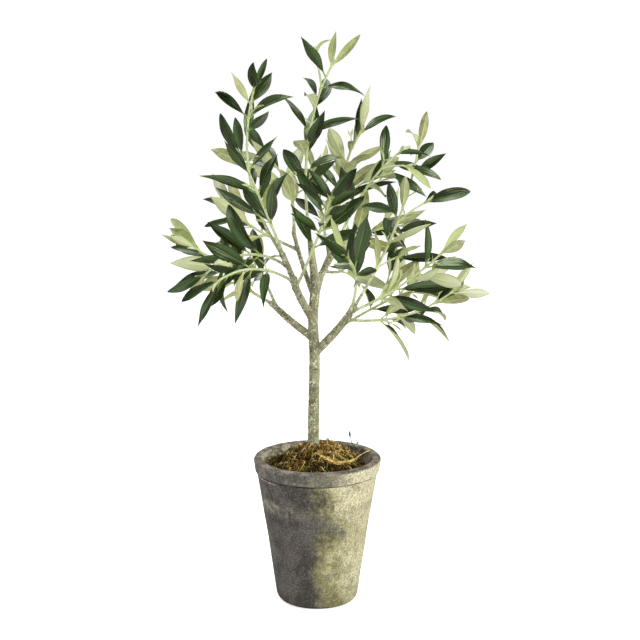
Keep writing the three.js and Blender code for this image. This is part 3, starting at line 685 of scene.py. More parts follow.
class Gatherer:
    """Collects many small shapes of one kind into one mesh."""

    def __init__(self, *value_names):
        self.points = []
        self.faces = []
        self.slots = []
        self.values = {name: [] for name in value_names}
        self.count = 0

    def add(self, points, faces, slots=0, **values):
        points = np.asarray(points, dtype=float)
        self.points.append(points)
        self.faces.extend([tuple(corner + self.count for corner in face) for face in faces])
        self.slots.extend([slots] * len(faces) if isinstance(slots, int) else slots)
        for name, kept in self.values.items():
            kept.append(np.broadcast_to(np.asarray(values[name], dtype=float), (len(points),)))
        self.count += len(points)

    def build(self, name, *materials):
        mesh = bpy.data.meshes.new(name)
        mesh.from_pydata((np.concatenate(self.points) * MM).tolist(), [], self.faces)
        for material in materials:
            mesh.materials.append(material)
        mesh.polygons.foreach_set("material_index", self.slots)
        mesh.polygons.foreach_set("use_smooth", [True] * len(mesh.polygons))
        for value_name, parts in self.values.items():
            keep_value(mesh, value_name, np.concatenate(parts))
        mesh.update()
        mesh.set_sharp_from_angle(angle=math.radians(SHARP_OVER))
        made = bpy.data.objects.new(name, mesh)
        bpy.context.collection.objects.link(made)
        triangles = sum(len(face) - 2 for face in self.faces)
        print(f"{name}: {self.count} points, {triangles} triangles")
        return made


def keep_value(mesh, name, values):
    """Keeps one number on each point for a material to read."""
    attribute = mesh.attributes.new(name, "FLOAT", "POINT")
    attribute.data.foreach_set("value", values.astype(np.float32))


def tube_points(middles, directions, radii, sides):
    """Rings of points round a line, without twist from one ring to the next."""
    side = np.cross(FRONT, directions[0])
    if np.linalg.norm(side) < 0.1:
        side = np.array((1.0, 0.0, 0.0))
    angles = np.arange(sides) * (2 * math.pi / sides)
    rings = []
    for middle, direction, radius in zip(middles, directions, radii):
        side = square_to(direction, side)
        other = np.cross(direction, side)
        rings.append(middle + radius * (np.cos(angles)[:, None] * side + np.sin(angles)[:, None] * other))
    return np.concatenate(rings)


def faces_between(rings, sides):
    """Four-cornered faces between neighbouring rings of points."""
    faces = []
    for a in range((rings - 1) * sides):
        b = a + 1 if (a + 1) % sides else a + 1 - sides
        faces.append((a, b, b + sides, a + sides))
    return faces


def tube_faces(rings, sides):
    """Faces between rings of points, closed at both ends."""
    ends = [tuple(reversed(range(sides))), tuple(range((rings - 1) * sides, rings * sides))]
    return faces_between(rings, sides) + ends


# %% [markdown]
# ## Bark
# The trunk and boughs are wire in a moulded covering of grey bark: a worm-eaten relief of low ridges, a few
# knobs, and a thickened collar where each stem leaves. The limbs could stay separate tubes, but a real fork
# has no seam. So all of them, with a short sleeve for the foot of every stem, are melted into one skin by a
# voxel remesh, smoothed until the forks flow, and then pushed in and out along their normals by noise. The
# height of that relief is kept on the points, because the colour follows it: pale ridges and dark hollows.

# %% Limbs as plain tubes
TRUNK_FOOT = TRUNK_ROUTE[0][2]
TRUNK_TIP = TRUNK_ROUTE[-1][2]
TRUNK_RADIUS = 6.5
TRUNK_FORK_RADIUS = 5.1
TRUNK_TIP_RADIUS = 2.9
FORK_HEIGHT = 345
FLARE = 2.3
FLARE_HEIGHT = 30
TRUNK_MESH = (60, 24)
BOUGH_MESH = (24, 16)
KNOB = 0.22
KNOB_LENGTH = 5
ROUNDED_END = ((0.35, 0.85), (0.6, 0.55))


def trunk_radius(z):
    """The trunk's true taper with a slight flare at its foot."""
    flare = FLARE * max(0.0, 1 - (z - TRUNK_FOOT) / FLARE_HEIGHT) ** 2
    if z < FORK_HEIGHT:
        return blend(TRUNK_RADIUS, TRUNK_FORK_RADIUS, (z - TRUNK_FOOT) / (FORK_HEIGHT - TRUNK_FOOT)) + flare
    return blend(TRUNK_FORK_RADIUS, TRUNK_TIP_RADIUS, (z - FORK_HEIGHT) / (TRUNK_TIP - FORK_HEIGHT)) + flare


def bough_radius(name, t):
    """A bough's taper with a small knob at its tip."""
    from_tip = (1 - t) * bough_lines[name].length / KNOB_LENGTH
    return blend(*bough_radii[name], t) * (1 + KNOB * math.exp(-from_tip * from_tip))


def limb_tube(gather, line, radius_at, steps, sides):
    """A limb with a short rounded end."""
    shares = [k / steps for k in range(steps + 1)]
    middles = [line.point(t) for t in shares]
    directions = [line.direction(t) for t in shares]
    radii = [radius_at(t) for t in shares]
    end = radii[-1]
    for ahead, shrink in ROUNDED_END:
        middles.append(middles[steps] + directions[steps] * (end * ahead))
        directions.append(directions[steps])
        radii.append(end * shrink)
    gather.add(tube_points(middles, directions, radii, sides), tube_faces(len(radii), sides))


limbs = Gatherer()
limb_tube(limbs, trunk_line, lambda t: trunk_radius(trunk_line.point(t)[2]), *TRUNK_MESH)
for name, line in bough_lines.items():
    limb_tube(limbs, line, lambda t, name=name: bough_radius(name, t), *BOUGH_MESH)

# %% Sleeves where the stems leave
SLEEVE_LENGTH = 9
SLEEVE_RADII = (2.5, 1.75)
SLEEVE_MESH = (6, 10)
for line in stem_lines.values():
    share = SLEEVE_LENGTH / line.length
    foot = line.point(0)
    mouth = line.point(share)
    sleeve = BowedLine(foot, mouth, line.point(share / 2) - (foot + mouth) / 2)
    limb_tube(limbs, sleeve, lambda t: blend(*SLEEVE_RADII, t), *SLEEVE_MESH)
bark_draft = limbs.build("bark_draft")

# %% Melt them into one skin
BARK_VOXEL = 0.6 * MM
melt = bark_draft.modifiers.new("melt", "REMESH")
melt.mode = "VOXEL"
melt.voxel_size = BARK_VOXEL
relax = bark_draft.modifiers.new("relax", "SMOOTH")
relax.factor = 0.5
relax.iterations = 6
melted = bark_draft.evaluated_get(bpy.context.evaluated_depsgraph_get())
bark_mesh = bpy.data.meshes.new_from_object(melted)
bpy.data.objects.remove(bark_draft)
bark_mesh.name = "bark"
bark = bpy.data.objects.new("bark", bark_mesh)
bpy.context.collection.objects.link(bark)
print("bark skin:", len(bark_mesh.vertices), "points")

# %% Relief in the bark
WORM_SIZE = (2.0, 2.0, 3.6)
WORM_SHARPNESS = 3.2
WORM_HEIGHT = 0.5
WARP_SEEDS = (11.3, 27.9, 43.1)
WARP_SIZE = 3.0
WARP_REACH = 1.6
LUMP_SIZE = 7.0
LUMP_HEIGHT = 0.16
POCK_SIZE = 1.7
POCK_DEPTH = 0.9


def noise_at(places, size, seed=0.0):
    """Smooth noise, about -1 to 1, with lumps of the given size in millimetres."""
    scaled = places / np.asarray(size, dtype=float) + seed
    return np.array([noise.noise(Vector(place)) for place in scaled])


def noise_layers(places, *layers):
    """Noise of several sizes laid over one another: each layer has a size, a seed and a height."""
    return sum(height * noise_at(places, size, seed) for size, seed, height in layers)


def patches(places, size, seed, edge):
    """Noise that rises only in scattered patches, where it passes an edge."""
    return np.clip(noise_at(places, size, seed) - edge, 0, 1)


def bell(values, middle, reach):
    """1 at a middle, falling off to nothing on both sides of it."""
    return np.exp(-((values - middle) / reach) ** 2)


places = np.empty(len(bark_mesh.vertices) * 3, dtype=np.float32)
normals = np.empty(len(bark_mesh.vertices) * 3, dtype=np.float32)
bark_mesh.vertices.foreach_get("co", places)
bark_mesh.vertex_normals.foreach_get("vector", normals)
bark_places = places.reshape(-1, 3).astype(float) / MM
bark_normals = normals.reshape(-1, 3).astype(float)
warp = np.stack([noise_at(bark_places, WARP_SIZE, seed) for seed in WARP_SEEDS], axis=1)
worms = 1 - np.abs(noise_at(bark_places + warp * WARP_REACH, WORM_SIZE)) * WORM_SHARPNESS
worms = np.clip(worms, 0, 1) ** 1.5
lumps = noise_at(bark_places, LUMP_SIZE, 5.0)
pocks = patches(bark_places, POCK_SIZE, 71.0, 0.25)
relief = worms * WORM_HEIGHT + lumps * LUMP_HEIGHT - pocks * POCK_DEPTH
print("bark relief from", round(relief.min(), 2), "to", round(relief.max(), 2), "mm")

# %% Knobs and rings
KNOB_SEED = 611
KNOB_COUNT = 46
KNOB_BREADTH = (0.7, 1.5)
KNOB_HEIGHT = (0.35, 0.95)
KNOB_LIMIT = 1.1
RINGED_BOUGH = "right_up"
RING_REACH = 14
RING_PACE = 2.6
RING_HEIGHT = 0.16
THINNING = (330, 60, 0.35)
SINK = 0.22
knob_draws = Draws(KNOB_SEED)
knob_field = np.zeros(len(bark_places))
# Each limb has its line, its radius, and how much of the knobs' draw falls to it.
knob_limbs = [(trunk_line, 5.0, 24)]
knob_limbs += [(line, bough_radii[name][0], 5) for name, line in bough_lines.items()]
weights = [weight for _, _, weight in knob_limbs]
weight_ends = np.cumsum(weights) / sum(weights)
for _ in range(KNOB_COUNT):
    line, radius, _ = knob_limbs[int(np.searchsorted(weight_ends, knob_draws.next()))]
    t = knob_draws.between(0.08, 0.98)
    angle = knob_draws.between(0, 2 * math.pi)
    along = line.direction(t)
    spot = line.point(t) + sideways(along, angle) * radius
    away = np.linalg.norm(bark_places - spot, axis=1)
    knob_field += bell(away, 0, knob_draws.between(*KNOB_BREADTH)) * knob_draws.between(*KNOB_HEIGHT)
ring_line = bough_lines[RINGED_BOUGH]
ring_way = (bark_places - ring_line.start) @ unit(ring_line.tip - ring_line.start)
near_ring = bell(np.linalg.norm(bark_places - ring_line.point(0.5), axis=1), 0, RING_REACH)
rings = np.sin(ring_way * RING_PACE + noise_at(bark_places, 4.0) * 2) * RING_HEIGHT * near_ring
thin_from, thin_over, thin_loss = THINNING
thin = np.clip((bark_places[:, 2] - thin_from) / thin_over, 0, 1)
height = relief * (1 - thin_loss * thin) + np.clip(knob_field, 0, KNOB_LIMIT) + rings - SINK
moved = (bark_places + bark_normals * height[:, None]) * MM
bark_mesh.vertices.foreach_set("co", moved.astype(np.float32).ravel())
bark_mesh.polygons.foreach_set("use_smooth", [True] * len(bark_mesh.polygons))
keep_value(bark_mesh, "relief", np.clip((relief + knob_field * 0.3 + rings) * 1.1, -1, 1))
bark_mesh.update()
print("bark size in mm:", [round(side / MM, 1) for side in bark.dimensions])


# %% [markdown]
# ## Stems
# The stems are smooth plastic, thick as a matchstick at the foot and thinner at the tip, with a swollen joint
# under every pair of leaves and a bud at the end. A curve with a bevel could make them, but the joints need
# their own radius every millimetre. So each stem is a tube of closely spaced rings. Two numbers go with the
# points: how fresh the plastic looks, from greyish foot to pale tip, and how near a joint is.

# %% Stems, twigs and shoots
STEM_RADII = (1.65, 1.0)
TWIG_RADII = (1.2, 0.85)
SHOOT_RADII = (0.75, 0.5)
STEM_FRESHNESS = (0.0, 1.0)
TWIG_FRESHNESS = (0.5, 1.0)
SHOOT_FRESHNESS = (0.7, 1.0)
STEM_BUD = 3.0
SHOOT_BUD = 2.0
STEM_SIDES = 8
RING_STEP = 1.3
JOINT_SWELL = 0.38
JOINT_REACH = 1.5
BUD_AHEAD = (0.25, 0.5, 0.75, 0.95)
BUD_WIDTHS = (1.15, 1.05, 0.7, 0.2)
BUD_JOINT = 0.6


def add_stem(gather, line, radii, joints, freshness, bud_length):
    """One stem with swollen joints and a pointed bud."""
    steps = max(6, int(line.length / RING_STEP))
    shares = np.linspace(0, 1, steps + 1)
    near = np.zeros(steps + 1)
    for joint in joints:
        near = np.maximum(near, bell((shares - joint) * line.length, 0, JOINT_REACH))
    tip = line.point(1)
    onward = line.direction(1)
    middles = [line.point(t) for t in shares] + [tip + onward * (bud_length * ahead) for ahead in BUD_AHEAD]
    directions = [line.direction(t) for t in shares] + [onward] * len(BUD_AHEAD)
    widths = np.concatenate([blend(*radii, shares) + JOINT_SWELL * near, np.array(BUD_WIDTHS) * radii[1]])
    fresh = np.concatenate([blend(*freshness, shares), np.full(len(BUD_AHEAD), freshness[1])])
    joint = np.concatenate([near, np.full(len(BUD_AHEAD), BUD_JOINT)])
    gather.add(tube_points(middles, directions, widths, STEM_SIDES), tube_faces(len(widths), STEM_SIDES),
               fresh=np.repeat(fresh, STEM_SIDES), joint=np.repeat(joint, STEM_SIDES))


stem_gather = Gatherer("fresh", "joint")
twig_gather = Gatherer("fresh", "joint")
for spray in grown.values():
    joints = [t for t, _ in spray["nodes"]]
    add_stem(stem_gather, spray["stem"], STEM_RADII, joints, STEM_FRESHNESS, STEM_BUD)
    for twig in spray["twigs"]:
        add_stem(twig_gather, twig, TWIG_RADII, [0.0, 1.0], TWIG_FRESHNESS, STEM_BUD)
    for shoot in spray["shoots"]:
        add_stem(twig_gather, shoot, SHOOT_RADII, [0.0], SHOOT_FRESHNESS, SHOOT_BUD)
print("stem points:", stem_gather.count, "twig points:", twig_gather.count)

# %% [markdown]
# ## Leaves
# Each leaf is a thin stamped blade on a thick stalk. Seen close up it is folded a little along its middle
# rib, the rib is a groove above and a raised line below, the edges ripple, and the blade turns as it runs out
# to its point. A flat card with a picture would lose all of that at the edge, and the library asks for real
# outlines. So a leaf is a closed blade of eighteen rows, laid along the curve that the growth rule gave it.
# Its upper and lower sides are different materials: dark and satin above, matt sage below. A tree turns its
# upper sides to the sky, so most leaves that would look inwards are dealt out with their sides exchanged.

# %% One blade
ROWS = (0, 0.03, 0.06, 0.09, 0.12, 0.16, 0.21, 0.28, 0.36, 0.44, 0.52, 0.6, 0.68, 0.76, 0.84, 0.91, 0.965, 1)
COLUMNS = (-1, -0.74, -0.42, -0.13, 0, 0.13, 0.42, 0.74, 1)
YOUNG_ROWS = (0, 0.06, 0.15, 0.3, 0.5, 0.7, 0.88, 1)
YOUNG_COLUMNS = (-1, -0.5, 0, 0.5, 1)
FOLD = (0.12, 0.75)
RIPPLE = (0.03, 0.14)
RIPPLE_TURNS = 1.9
RIPPLE_LAG = 0.9
BLADE_TURN = 38
BLADE_SWEEP = 0.05
BLUNT_SHARE = 0.3
BLUNT_AT_TIP = 1.6
BLUNT_SHAPE = ((1.08, 1.3), (0.62, 0.8))
SLIM_SHAPE = ((0.86, 1.08), (0.9, 1.25))
STALK_ZONE = (0.07, 0.2)
STALK_RADIUS = 0.62
TIP_HALF_WIDTH = 0.16
GROOVE_DEPTH = 0.26
GROOVE_REACH = 0.55
RIB_HEIGHT = 0.5
RIB_REACH = 0.6
BLADE_EDGE = 0.14
BLADE_BODY = 0.24


def smooth_step(low, high, values):
    """Eases from 0 at low to 1 at high."""
    share = np.clip((values - low) / (high - low), 0, 1)
    return share * share * (3 - 2 * share)


def blade_faces(rows, columns):
    """Faces of a closed blade, and whether each is on its upper side, whose points come first in a row."""
    ring = 2 * columns - 2
    upper = [place % ring < columns - 1 for place in range((rows - 1) * ring)]
    return tube_faces(rows, ring), upper + [False, False]


def blade_section(leaf, u, w, fold, ripple, phase, half, stalk, stalk_radius):
    """The heights of the upper and the lower side across a blade, at a share of its length."""
    scale = leaf["length"] / LEAF_LENGTH
    rise = fold * half * np.abs(w) ** 1.25
    wave = np.sin(phase + 2 * math.pi * RIPPLE_TURNS * u + np.sign(w) * RIPPLE_LAG)
    groove = GROOVE_DEPTH * bell(w * half, 0, GROOVE_REACH) * min(1.0, half / 2)
    top = rise + ripple * half * w * w * wave - groove
    rib = RIB_HEIGHT * bell(w * half, 0, RIB_REACH) * (1 - 0.75 * u) * min(1.0, scale + 0.2)
    low = top - (BLADE_EDGE + BLADE_BODY * (1 - np.abs(w) ** 3)) - rib
    rounding = stalk_radius * np.sqrt(np.clip(1 - w * w, 0, 1)) * 0.9
    top = blend(top, rounding, stalk)
    low = blend(low, -rounding, stalk)
    low[[0, -1]] = top[[0, -1]]
    return top, low


def add_leaf(gather, leaf, draws, rows, columns):
    """Lays one blade along its leaf's curve."""
    tone = draws.next()
    fold = draws.between(*FOLD)
    ripple = draws.between(*RIPPLE)
    phase = draws.between(0, 2 * math.pi)
    turn = draws.angle(-BLADE_TURN, BLADE_TURN)
    sweep = draws.between(-BLADE_SWEEP, BLADE_SWEEP)
    blunt = draws.next() < BLUNT_SHARE * (BLUNT_AT_TIP if leaf["at_tip"] else 1)
    belly_range, point_range = BLUNT_SHAPE if blunt else SLIM_SHAPE
    belly = draws.between(*belly_range)
    point = draws.between(*point_range)
    scale = leaf["length"] / LEAF_LENGTH
    w = np.array(columns, dtype=float)
    points = []
    for u in rows:
        middle, face, side = leaf_middle(leaf, u)
        half = STALK_HALF_WIDTH
        if u > STALK_SHARE:
            half = max(TIP_HALF_WIDTH, blade_half(leaf) * blade_swell(u, belly, point))
        stalk = 1 - smooth_step(*STALK_ZONE, u)
        stalk_radius = (STALK_RADIUS + 0.25 * scale) * (1.15 - 0.15 * min(1, u * 20))
        half = float(blend(half, max(stalk_radius, half * smooth_step(0.08, 0.2, u)), stalk))
        top, low = blade_section(leaf, u, w, fold, ripple, phase, half, stalk, stalk_radius)
        angle = turn * u * u
        turned_side = side * math.cos(angle) + face * math.sin(angle)
        turned_face = face * math.cos(angle) - side * math.sin(angle)
        line = middle + side * (sweep * leaf["length"] * u * u) + np.outer(w * half, turned_side)
        points += [line + np.outer(top, turned_face), (line + np.outer(low, turned_face))[-2:0:-1]]
    faces, is_upper = blade_faces(len(rows), len(columns))
    across = np.tile(np.concatenate([w, w[-2:0:-1]]), len(rows))
    gather.add(np.concatenate(points), faces, [0 if upper else 1 for upper in is_upper], across=across,
               along=np.repeat(rows, 2 * len(w) - 2), tone=tone)


# %% Deal out the leaves
PALE_SHARE = {"left_top": 0.2, "top": 0.2, "right_far": 0.16, "right_low": 0.1, "left_low": 0.16}
USUAL_PALE_SHARE = 0.07
PALE_TIPS = 1.6
PALE_PAIRS = 0.6
LOOKING_OUT = 0.86
CROWN_MIDDLE = np.array((0, 14, 0))
SKYWARD = 40
DEAL_SEEDS = (9000, 31)


def turned_over(leaf):
    """The same curve with the leaf's sides exchanged: it bends towards its upper side instead."""
    return {**leaf, "face": -leaf["face"], "arch": -leaf["arch"]}


def looks_out(leaf):
    """True if the upper side of a leaf looks up and away from the middle of the crown."""
    middle, face, _ = leaf_middle(leaf, 0.5)
    away = (middle - CROWN_MIDDLE) * np.array((1, 1, 0)) + UP * SKYWARD
    return face.dot(away) > 0


leaf_gather = {kind: Gatherer("across", "along", "tone") for kind in ("dark", "fresh", "young")}
for number, (name, spray) in enumerate(grown.items()):
    draws = Draws(DEAL_SEEDS[0] + DEAL_SEEDS[1] * number)
    pale_share = PALE_SHARE.get(name, USUAL_PALE_SHARE)
    for leaf in spray["leaves"]:
        pale = draws.next() < pale_share * (PALE_TIPS if leaf["at_tip"] else PALE_PAIRS)
        if draws.next() < LOOKING_OUT and not looks_out(leaf):
            leaf = turned_over(leaf)
        add_leaf(leaf_gather["fresh" if pale else "dark"], leaf, draws, ROWS, COLUMNS)
    for slip in spray["slips"]:
        add_leaf(leaf_gather["young"], slip, draws, YOUNG_ROWS, YOUNG_COLUMNS)
print("leaf points:", {kind: gather.count for kind, gather in leaf_gather.items()})

# %% [markdown]
# ## Effects that several finishes share
# Clay, bark, moss, leaves and the fill have blotches or a fine grain, only at other sizes. Each effect is one
# node group, built once: a blotch mask with a size and two edges, and a grain that gives a height for bump
# and a mask of specks. A material sets the group's inputs and decides what to do with what comes out.

# %% Blotch group
def new_group(name, inputs, outputs):
    """A node group whose sockets are all numbers, with the nodes at its two ends."""
    group = bpy.data.node_groups.new(name, "ShaderNodeTree")
    for socket in inputs:
        group.interface.new_socket(socket, in_out="INPUT", socket_type="NodeSocketFloat")
    for socket in outputs:
        group.interface.new_socket(socket, in_out="OUTPUT", socket_type="NodeSocketFloat")
    return group, group.nodes.new("NodeGroupInput"), group.nodes.new("NodeGroupOutput")


blotch_values = ("Scale", "Detail", "Low Edge", "High Edge")
blotch_group, blotch_in, blotch_out = new_group("Blotches", blotch_values, ("Mask",))
blotch_place = blotch_group.nodes.new("ShaderNodeTexCoord")
blotch_noise = blotch_group.nodes.new("ShaderNodeTexNoise")
blotch_noise.inputs["Roughness"].default_value = 0.6
blotch_range = blotch_group.nodes.new("ShaderNodeMapRange")
blotch_range.interpolation_type = "SMOOTHSTEP"
blotch_group.links.new(blotch_place.outputs["Object"], blotch_noise.inputs["Vector"])
blotch_group.links.new(blotch_in.outputs["Scale"], blotch_noise.inputs["Scale"])
blotch_group.links.new(blotch_in.outputs["Detail"], blotch_noise.inputs["Detail"])
blotch_group.links.new(blotch_noise.outputs[0], blotch_range.inputs["Value"])
blotch_group.links.new(blotch_in.outputs["Low Edge"], blotch_range.inputs["From Min"])
blotch_group.links.new(blotch_in.outputs["High Edge"], blotch_range.inputs["From Max"])
blotch_group.links.new(blotch_range.outputs[0], blotch_out.inputs["Mask"])
print("group", blotch_group.name)

# %% Grain group
grain_group, grain_in, grain_out = new_group("Fine grain", ("Scale", "Speck Size"), ("Height", "Specks"))
grain_place = grain_group.nodes.new("ShaderNodeTexCoord")
grain_noise = grain_group.nodes.new("ShaderNodeTexNoise")
grain_noise.inputs["Detail"].default_value = 4.0
grain_cells = grain_group.nodes.new("ShaderNodeTexVoronoi")
grain_range = grain_group.nodes.new("ShaderNodeMapRange")
grain_range.inputs["From Min"].default_value = 0.0
grain_range.inputs["To Min"].default_value = 1.0
grain_range.inputs["To Max"].default_value = 0.0
for texture in (grain_noise, grain_cells):
    grain_group.links.new(grain_place.outputs["Object"], texture.inputs["Vector"])
    grain_group.links.new(grain_in.outputs["Scale"], texture.inputs["Scale"])
grain_group.links.new(grain_in.outputs["Speck Size"], grain_range.inputs["From Max"])
grain_group.links.new(grain_cells.outputs["Distance"], grain_range.inputs["Value"])
grain_group.links.new(grain_noise.outputs[0], grain_out.inputs["Height"])
grain_group.links.new(grain_range.outputs[0], grain_out.inputs["Specks"])
print("group", grain_group.name)


# %% A painter's short words for nodes
class Finish:
    """A new material and the steps that mix it. A colour is a node's output, or red, green and blue."""

    def __init__(self, name):
        self.material, self.tree, self.shader = new_material(name)

    def feed(self, socket, value):
        """Links a socket to another, or sets it."""
        if isinstance(value, bpy.types.NodeSocket):
            self.tree.links.new(value, socket)
        else:
            socket.default_value = paint(*value) if isinstance(value, tuple) else value

    def calculate(self, operation, *values):
        """One step of arithmetic."""
        node = self.tree.nodes.new("ShaderNodeMath")
        node.operation = operation
        for socket, value in zip(node.inputs, values):
            self.feed(socket, value)
        return node.outputs[0]

    def times(self, first, second):
        return self.calculate("MULTIPLY", first, second)

    def plus(self, first, second):
        return self.calculate("ADD", first, second)

    def scaled(self, value, factor, offset):
        """A value times a factor, with an offset added."""
        return self.calculate("MULTIPLY_ADD", value, factor, offset)

    def ease(self, value, low, high, to_low=0.0, to_high=1.0):
        """A value eased from one number to another between two ends."""
        node = self.tree.nodes.new("ShaderNodeMapRange")
        node.interpolation_type = "SMOOTHSTEP"
        ends = {"Value": value, "From Min": low, "From Max": high, "To Min": to_low, "To Max": to_high}
        for name, end in ends.items():
            self.feed(node.inputs[name], end)
        return node.outputs[0]

    def mix(self, share, first, second, way="MIX"):
        """A colour between two others."""
        node = self.tree.nodes.new("ShaderNodeMix")
        node.data_type = "RGBA"
        node.blend_type = way
        for place, value in ((0, share), (6, first), (7, second)):
            self.feed(node.inputs[place], value)
        return node.outputs[2]

    def shade(self, share, colour, tint):
        """A colour multiplied by a tint, as far as share says."""
        return self.mix(share, colour, tint, "MULTIPLY")

    def place(self, kind="Object"):
        """Where a point lies on the object, or the way it faces."""
        return self.tree.nodes.new("ShaderNodeTexCoord").outputs[kind]

    def split(self, place):
        """The three numbers of a place."""
        node = self.tree.nodes.new("ShaderNodeSeparateXYZ")
        self.tree.links.new(place, node.inputs[0])
        return node.outputs[0], node.outputs[1], node.outputs[2]

    def noise(self, place, scale, detail, roughness=0.5):
        """Plain noise, about 0 to 1, with so many lumps to the metre."""
        node = self.tree.nodes.new("ShaderNodeTexNoise")
        numbers = {"Vector": place, "Scale": scale, "Detail": detail, "Roughness": roughness}
        for name, number in numbers.items():
            self.feed(node.inputs[name], number)
        return node.outputs[0]

    def point_value(self, name):
        """A number kept on the mesh's points."""
        node = self.tree.nodes.new("ShaderNodeAttribute")
        node.attribute_name = name
        return node.outputs["Fac"]

    def shared(self, group, numbers):
        """One of the shared groups with its numbers set."""
        node = self.tree.nodes.new("ShaderNodeGroup")
        node.node_tree = group
        for name, number in numbers.items():
            node.inputs[name].default_value = number
        return node.outputs

    def blotches(self, scale, low_edge, high_edge, detail=3.0):
        """A mask of blotches, so many to the metre, with the noise's values at its soft edge."""
        numbers = {"Scale": scale, "Detail": detail, "Low Edge": low_edge, "High Edge": high_edge}
        return self.shared(blotch_group, numbers)["Mask"]

    def grain(self, scale, speck_size):
        """The height of a fine grain, and a mask of its specks."""
        outputs = self.shared(grain_group, {"Scale": scale, "Speck Size": speck_size})
        return outputs["Height"], outputs["Specks"]

    def blotched(self, colour, *layers, detail=3.0):
        """A colour under layers of blotches, each with a scale, two edges, its cover and its colour."""
        for scale, low_edge, high_edge, cover, layer in layers:
            mask = self.times(self.blotches(scale, low_edge, high_edge, detail), cover)
            colour = self.mix(mask, colour, layer)
        return colour

    def surface(self, colour, roughness, gloss=0.5):
        """What the shader takes: a colour, a roughness and a gloss."""
        self.tree.links.new(colour, self.shader.inputs["Base Color"])
        self.shader.inputs["Roughness"].default_value = roughness
        self.shader.inputs["Specular IOR Level"].default_value = gloss

    def bump(self, height, strength, distance):
        """Fine relief from a height."""
        node = self.tree.nodes.new("ShaderNodeBump")
        node.inputs["Strength"].default_value = strength
        node.inputs["Distance"].default_value = distance
        self.tree.links.new(height, node.inputs["Height"])
        self.tree.links.new(node.outputs["Normal"], self.shader.inputs["Normal"])


# %% [markdown]
# ## Bark, stem and leaf finishes
# The bark is dry paint over a moulded skin: pale grey-green with lighter ridges and darker hollows, and with
# painted light on the side that faces right and painted shade on the side that faces left. The stems are one
# pale green plastic, yellower at the joints. A leaf's upper side is dark green with a satin sheen, a paler
# rib and faint veins that run almost lengthwise; on many leaves one half of it is painted brighter, as a
# painted sheen. Its underside is a flat sage green.

# %% Bark finish
BARK_DARK = (126, 120, 92)
BARK_LIGHT = (146, 144, 112)
BARK_GREEN = (112, 120, 76)
BARK_PAINTED_SHADE = (108, 96, 70)
BARK_PAINTED_LIGHT = (184, 190, 158)
BARK_RIDGE = (219, 220, 188)
BARK_HOLLOW = (66, 68, 38)
BARK_SPECK = (92, 90, 62)
finish = Finish("grey_bark")
relief_value = finish.point_value("relief")
colour = finish.blotched(BARK_DARK, (60, 0.42, 0.62, 1.0, BARK_LIGHT), (80, 0.5, 0.66, 0.7, BARK_GREEN),
                         detail=2.0)
# Painted light and shade: bark that faces right is painted paler, as if lit from the right, and bark that
# faces left is painted darker, as if in shade.
faces_right, _, _ = finish.split(finish.place("Normal"))
colour = finish.mix(finish.ease(faces_right, 0.0, -0.85, 0.0, 0.5), colour, BARK_PAINTED_SHADE)
colour = finish.mix(finish.ease(faces_right, 0.1, 0.9, 0.0, 0.32), colour, BARK_PAINTED_LIGHT)
colour = finish.mix(finish.ease(relief_value, 0.2, 0.5, 0.0, 0.85), colour, BARK_RIDGE)
colour = finish.mix(finish.ease(relief_value, 0.02, -0.22), colour, BARK_HOLLOW)
height, specks = finish.grain(900, 0.28)
finish.surface(finish.mix(finish.times(specks, 0.45), colour, BARK_SPECK), 0.85)
finish.bump(height, 0.5, 0.0004)
bark_mesh.materials.clear()
bark_mesh.materials.append(finish.material)
print("bark finish:", bark_mesh.materials[0].name)

# %% Stem finish
STEM_FOOT = (138, 142, 104)
STEM_GREEN = (186, 198, 146)
STEM_PALE = (200, 208, 168)
STEM_JOINT = (184, 196, 104)
finish = Finish("pale_stem")
colour = finish.mix(finish.ease(finish.point_value("fresh"), 0.0, 0.4), STEM_FOOT, STEM_GREEN)
colour = finish.blotched(colour, (220, 0.45, 0.6, 1.0, STEM_PALE))
finish.surface(finish.mix(finish.times(finish.point_value("joint"), 0.7), colour, STEM_JOINT), 0.5)
finish.bump(finish.grain(700, 0.2)[0], 0.25, 0.0003)
stem_material = finish.material
print("stem finish:", stem_material.name)

# %% Leaf finishes
SHEEN_TINT = (0.78, 0.95, 0.62, 1.0)
VEINS = (17.0, -9.0)
VEIN_SHARE = 0.11


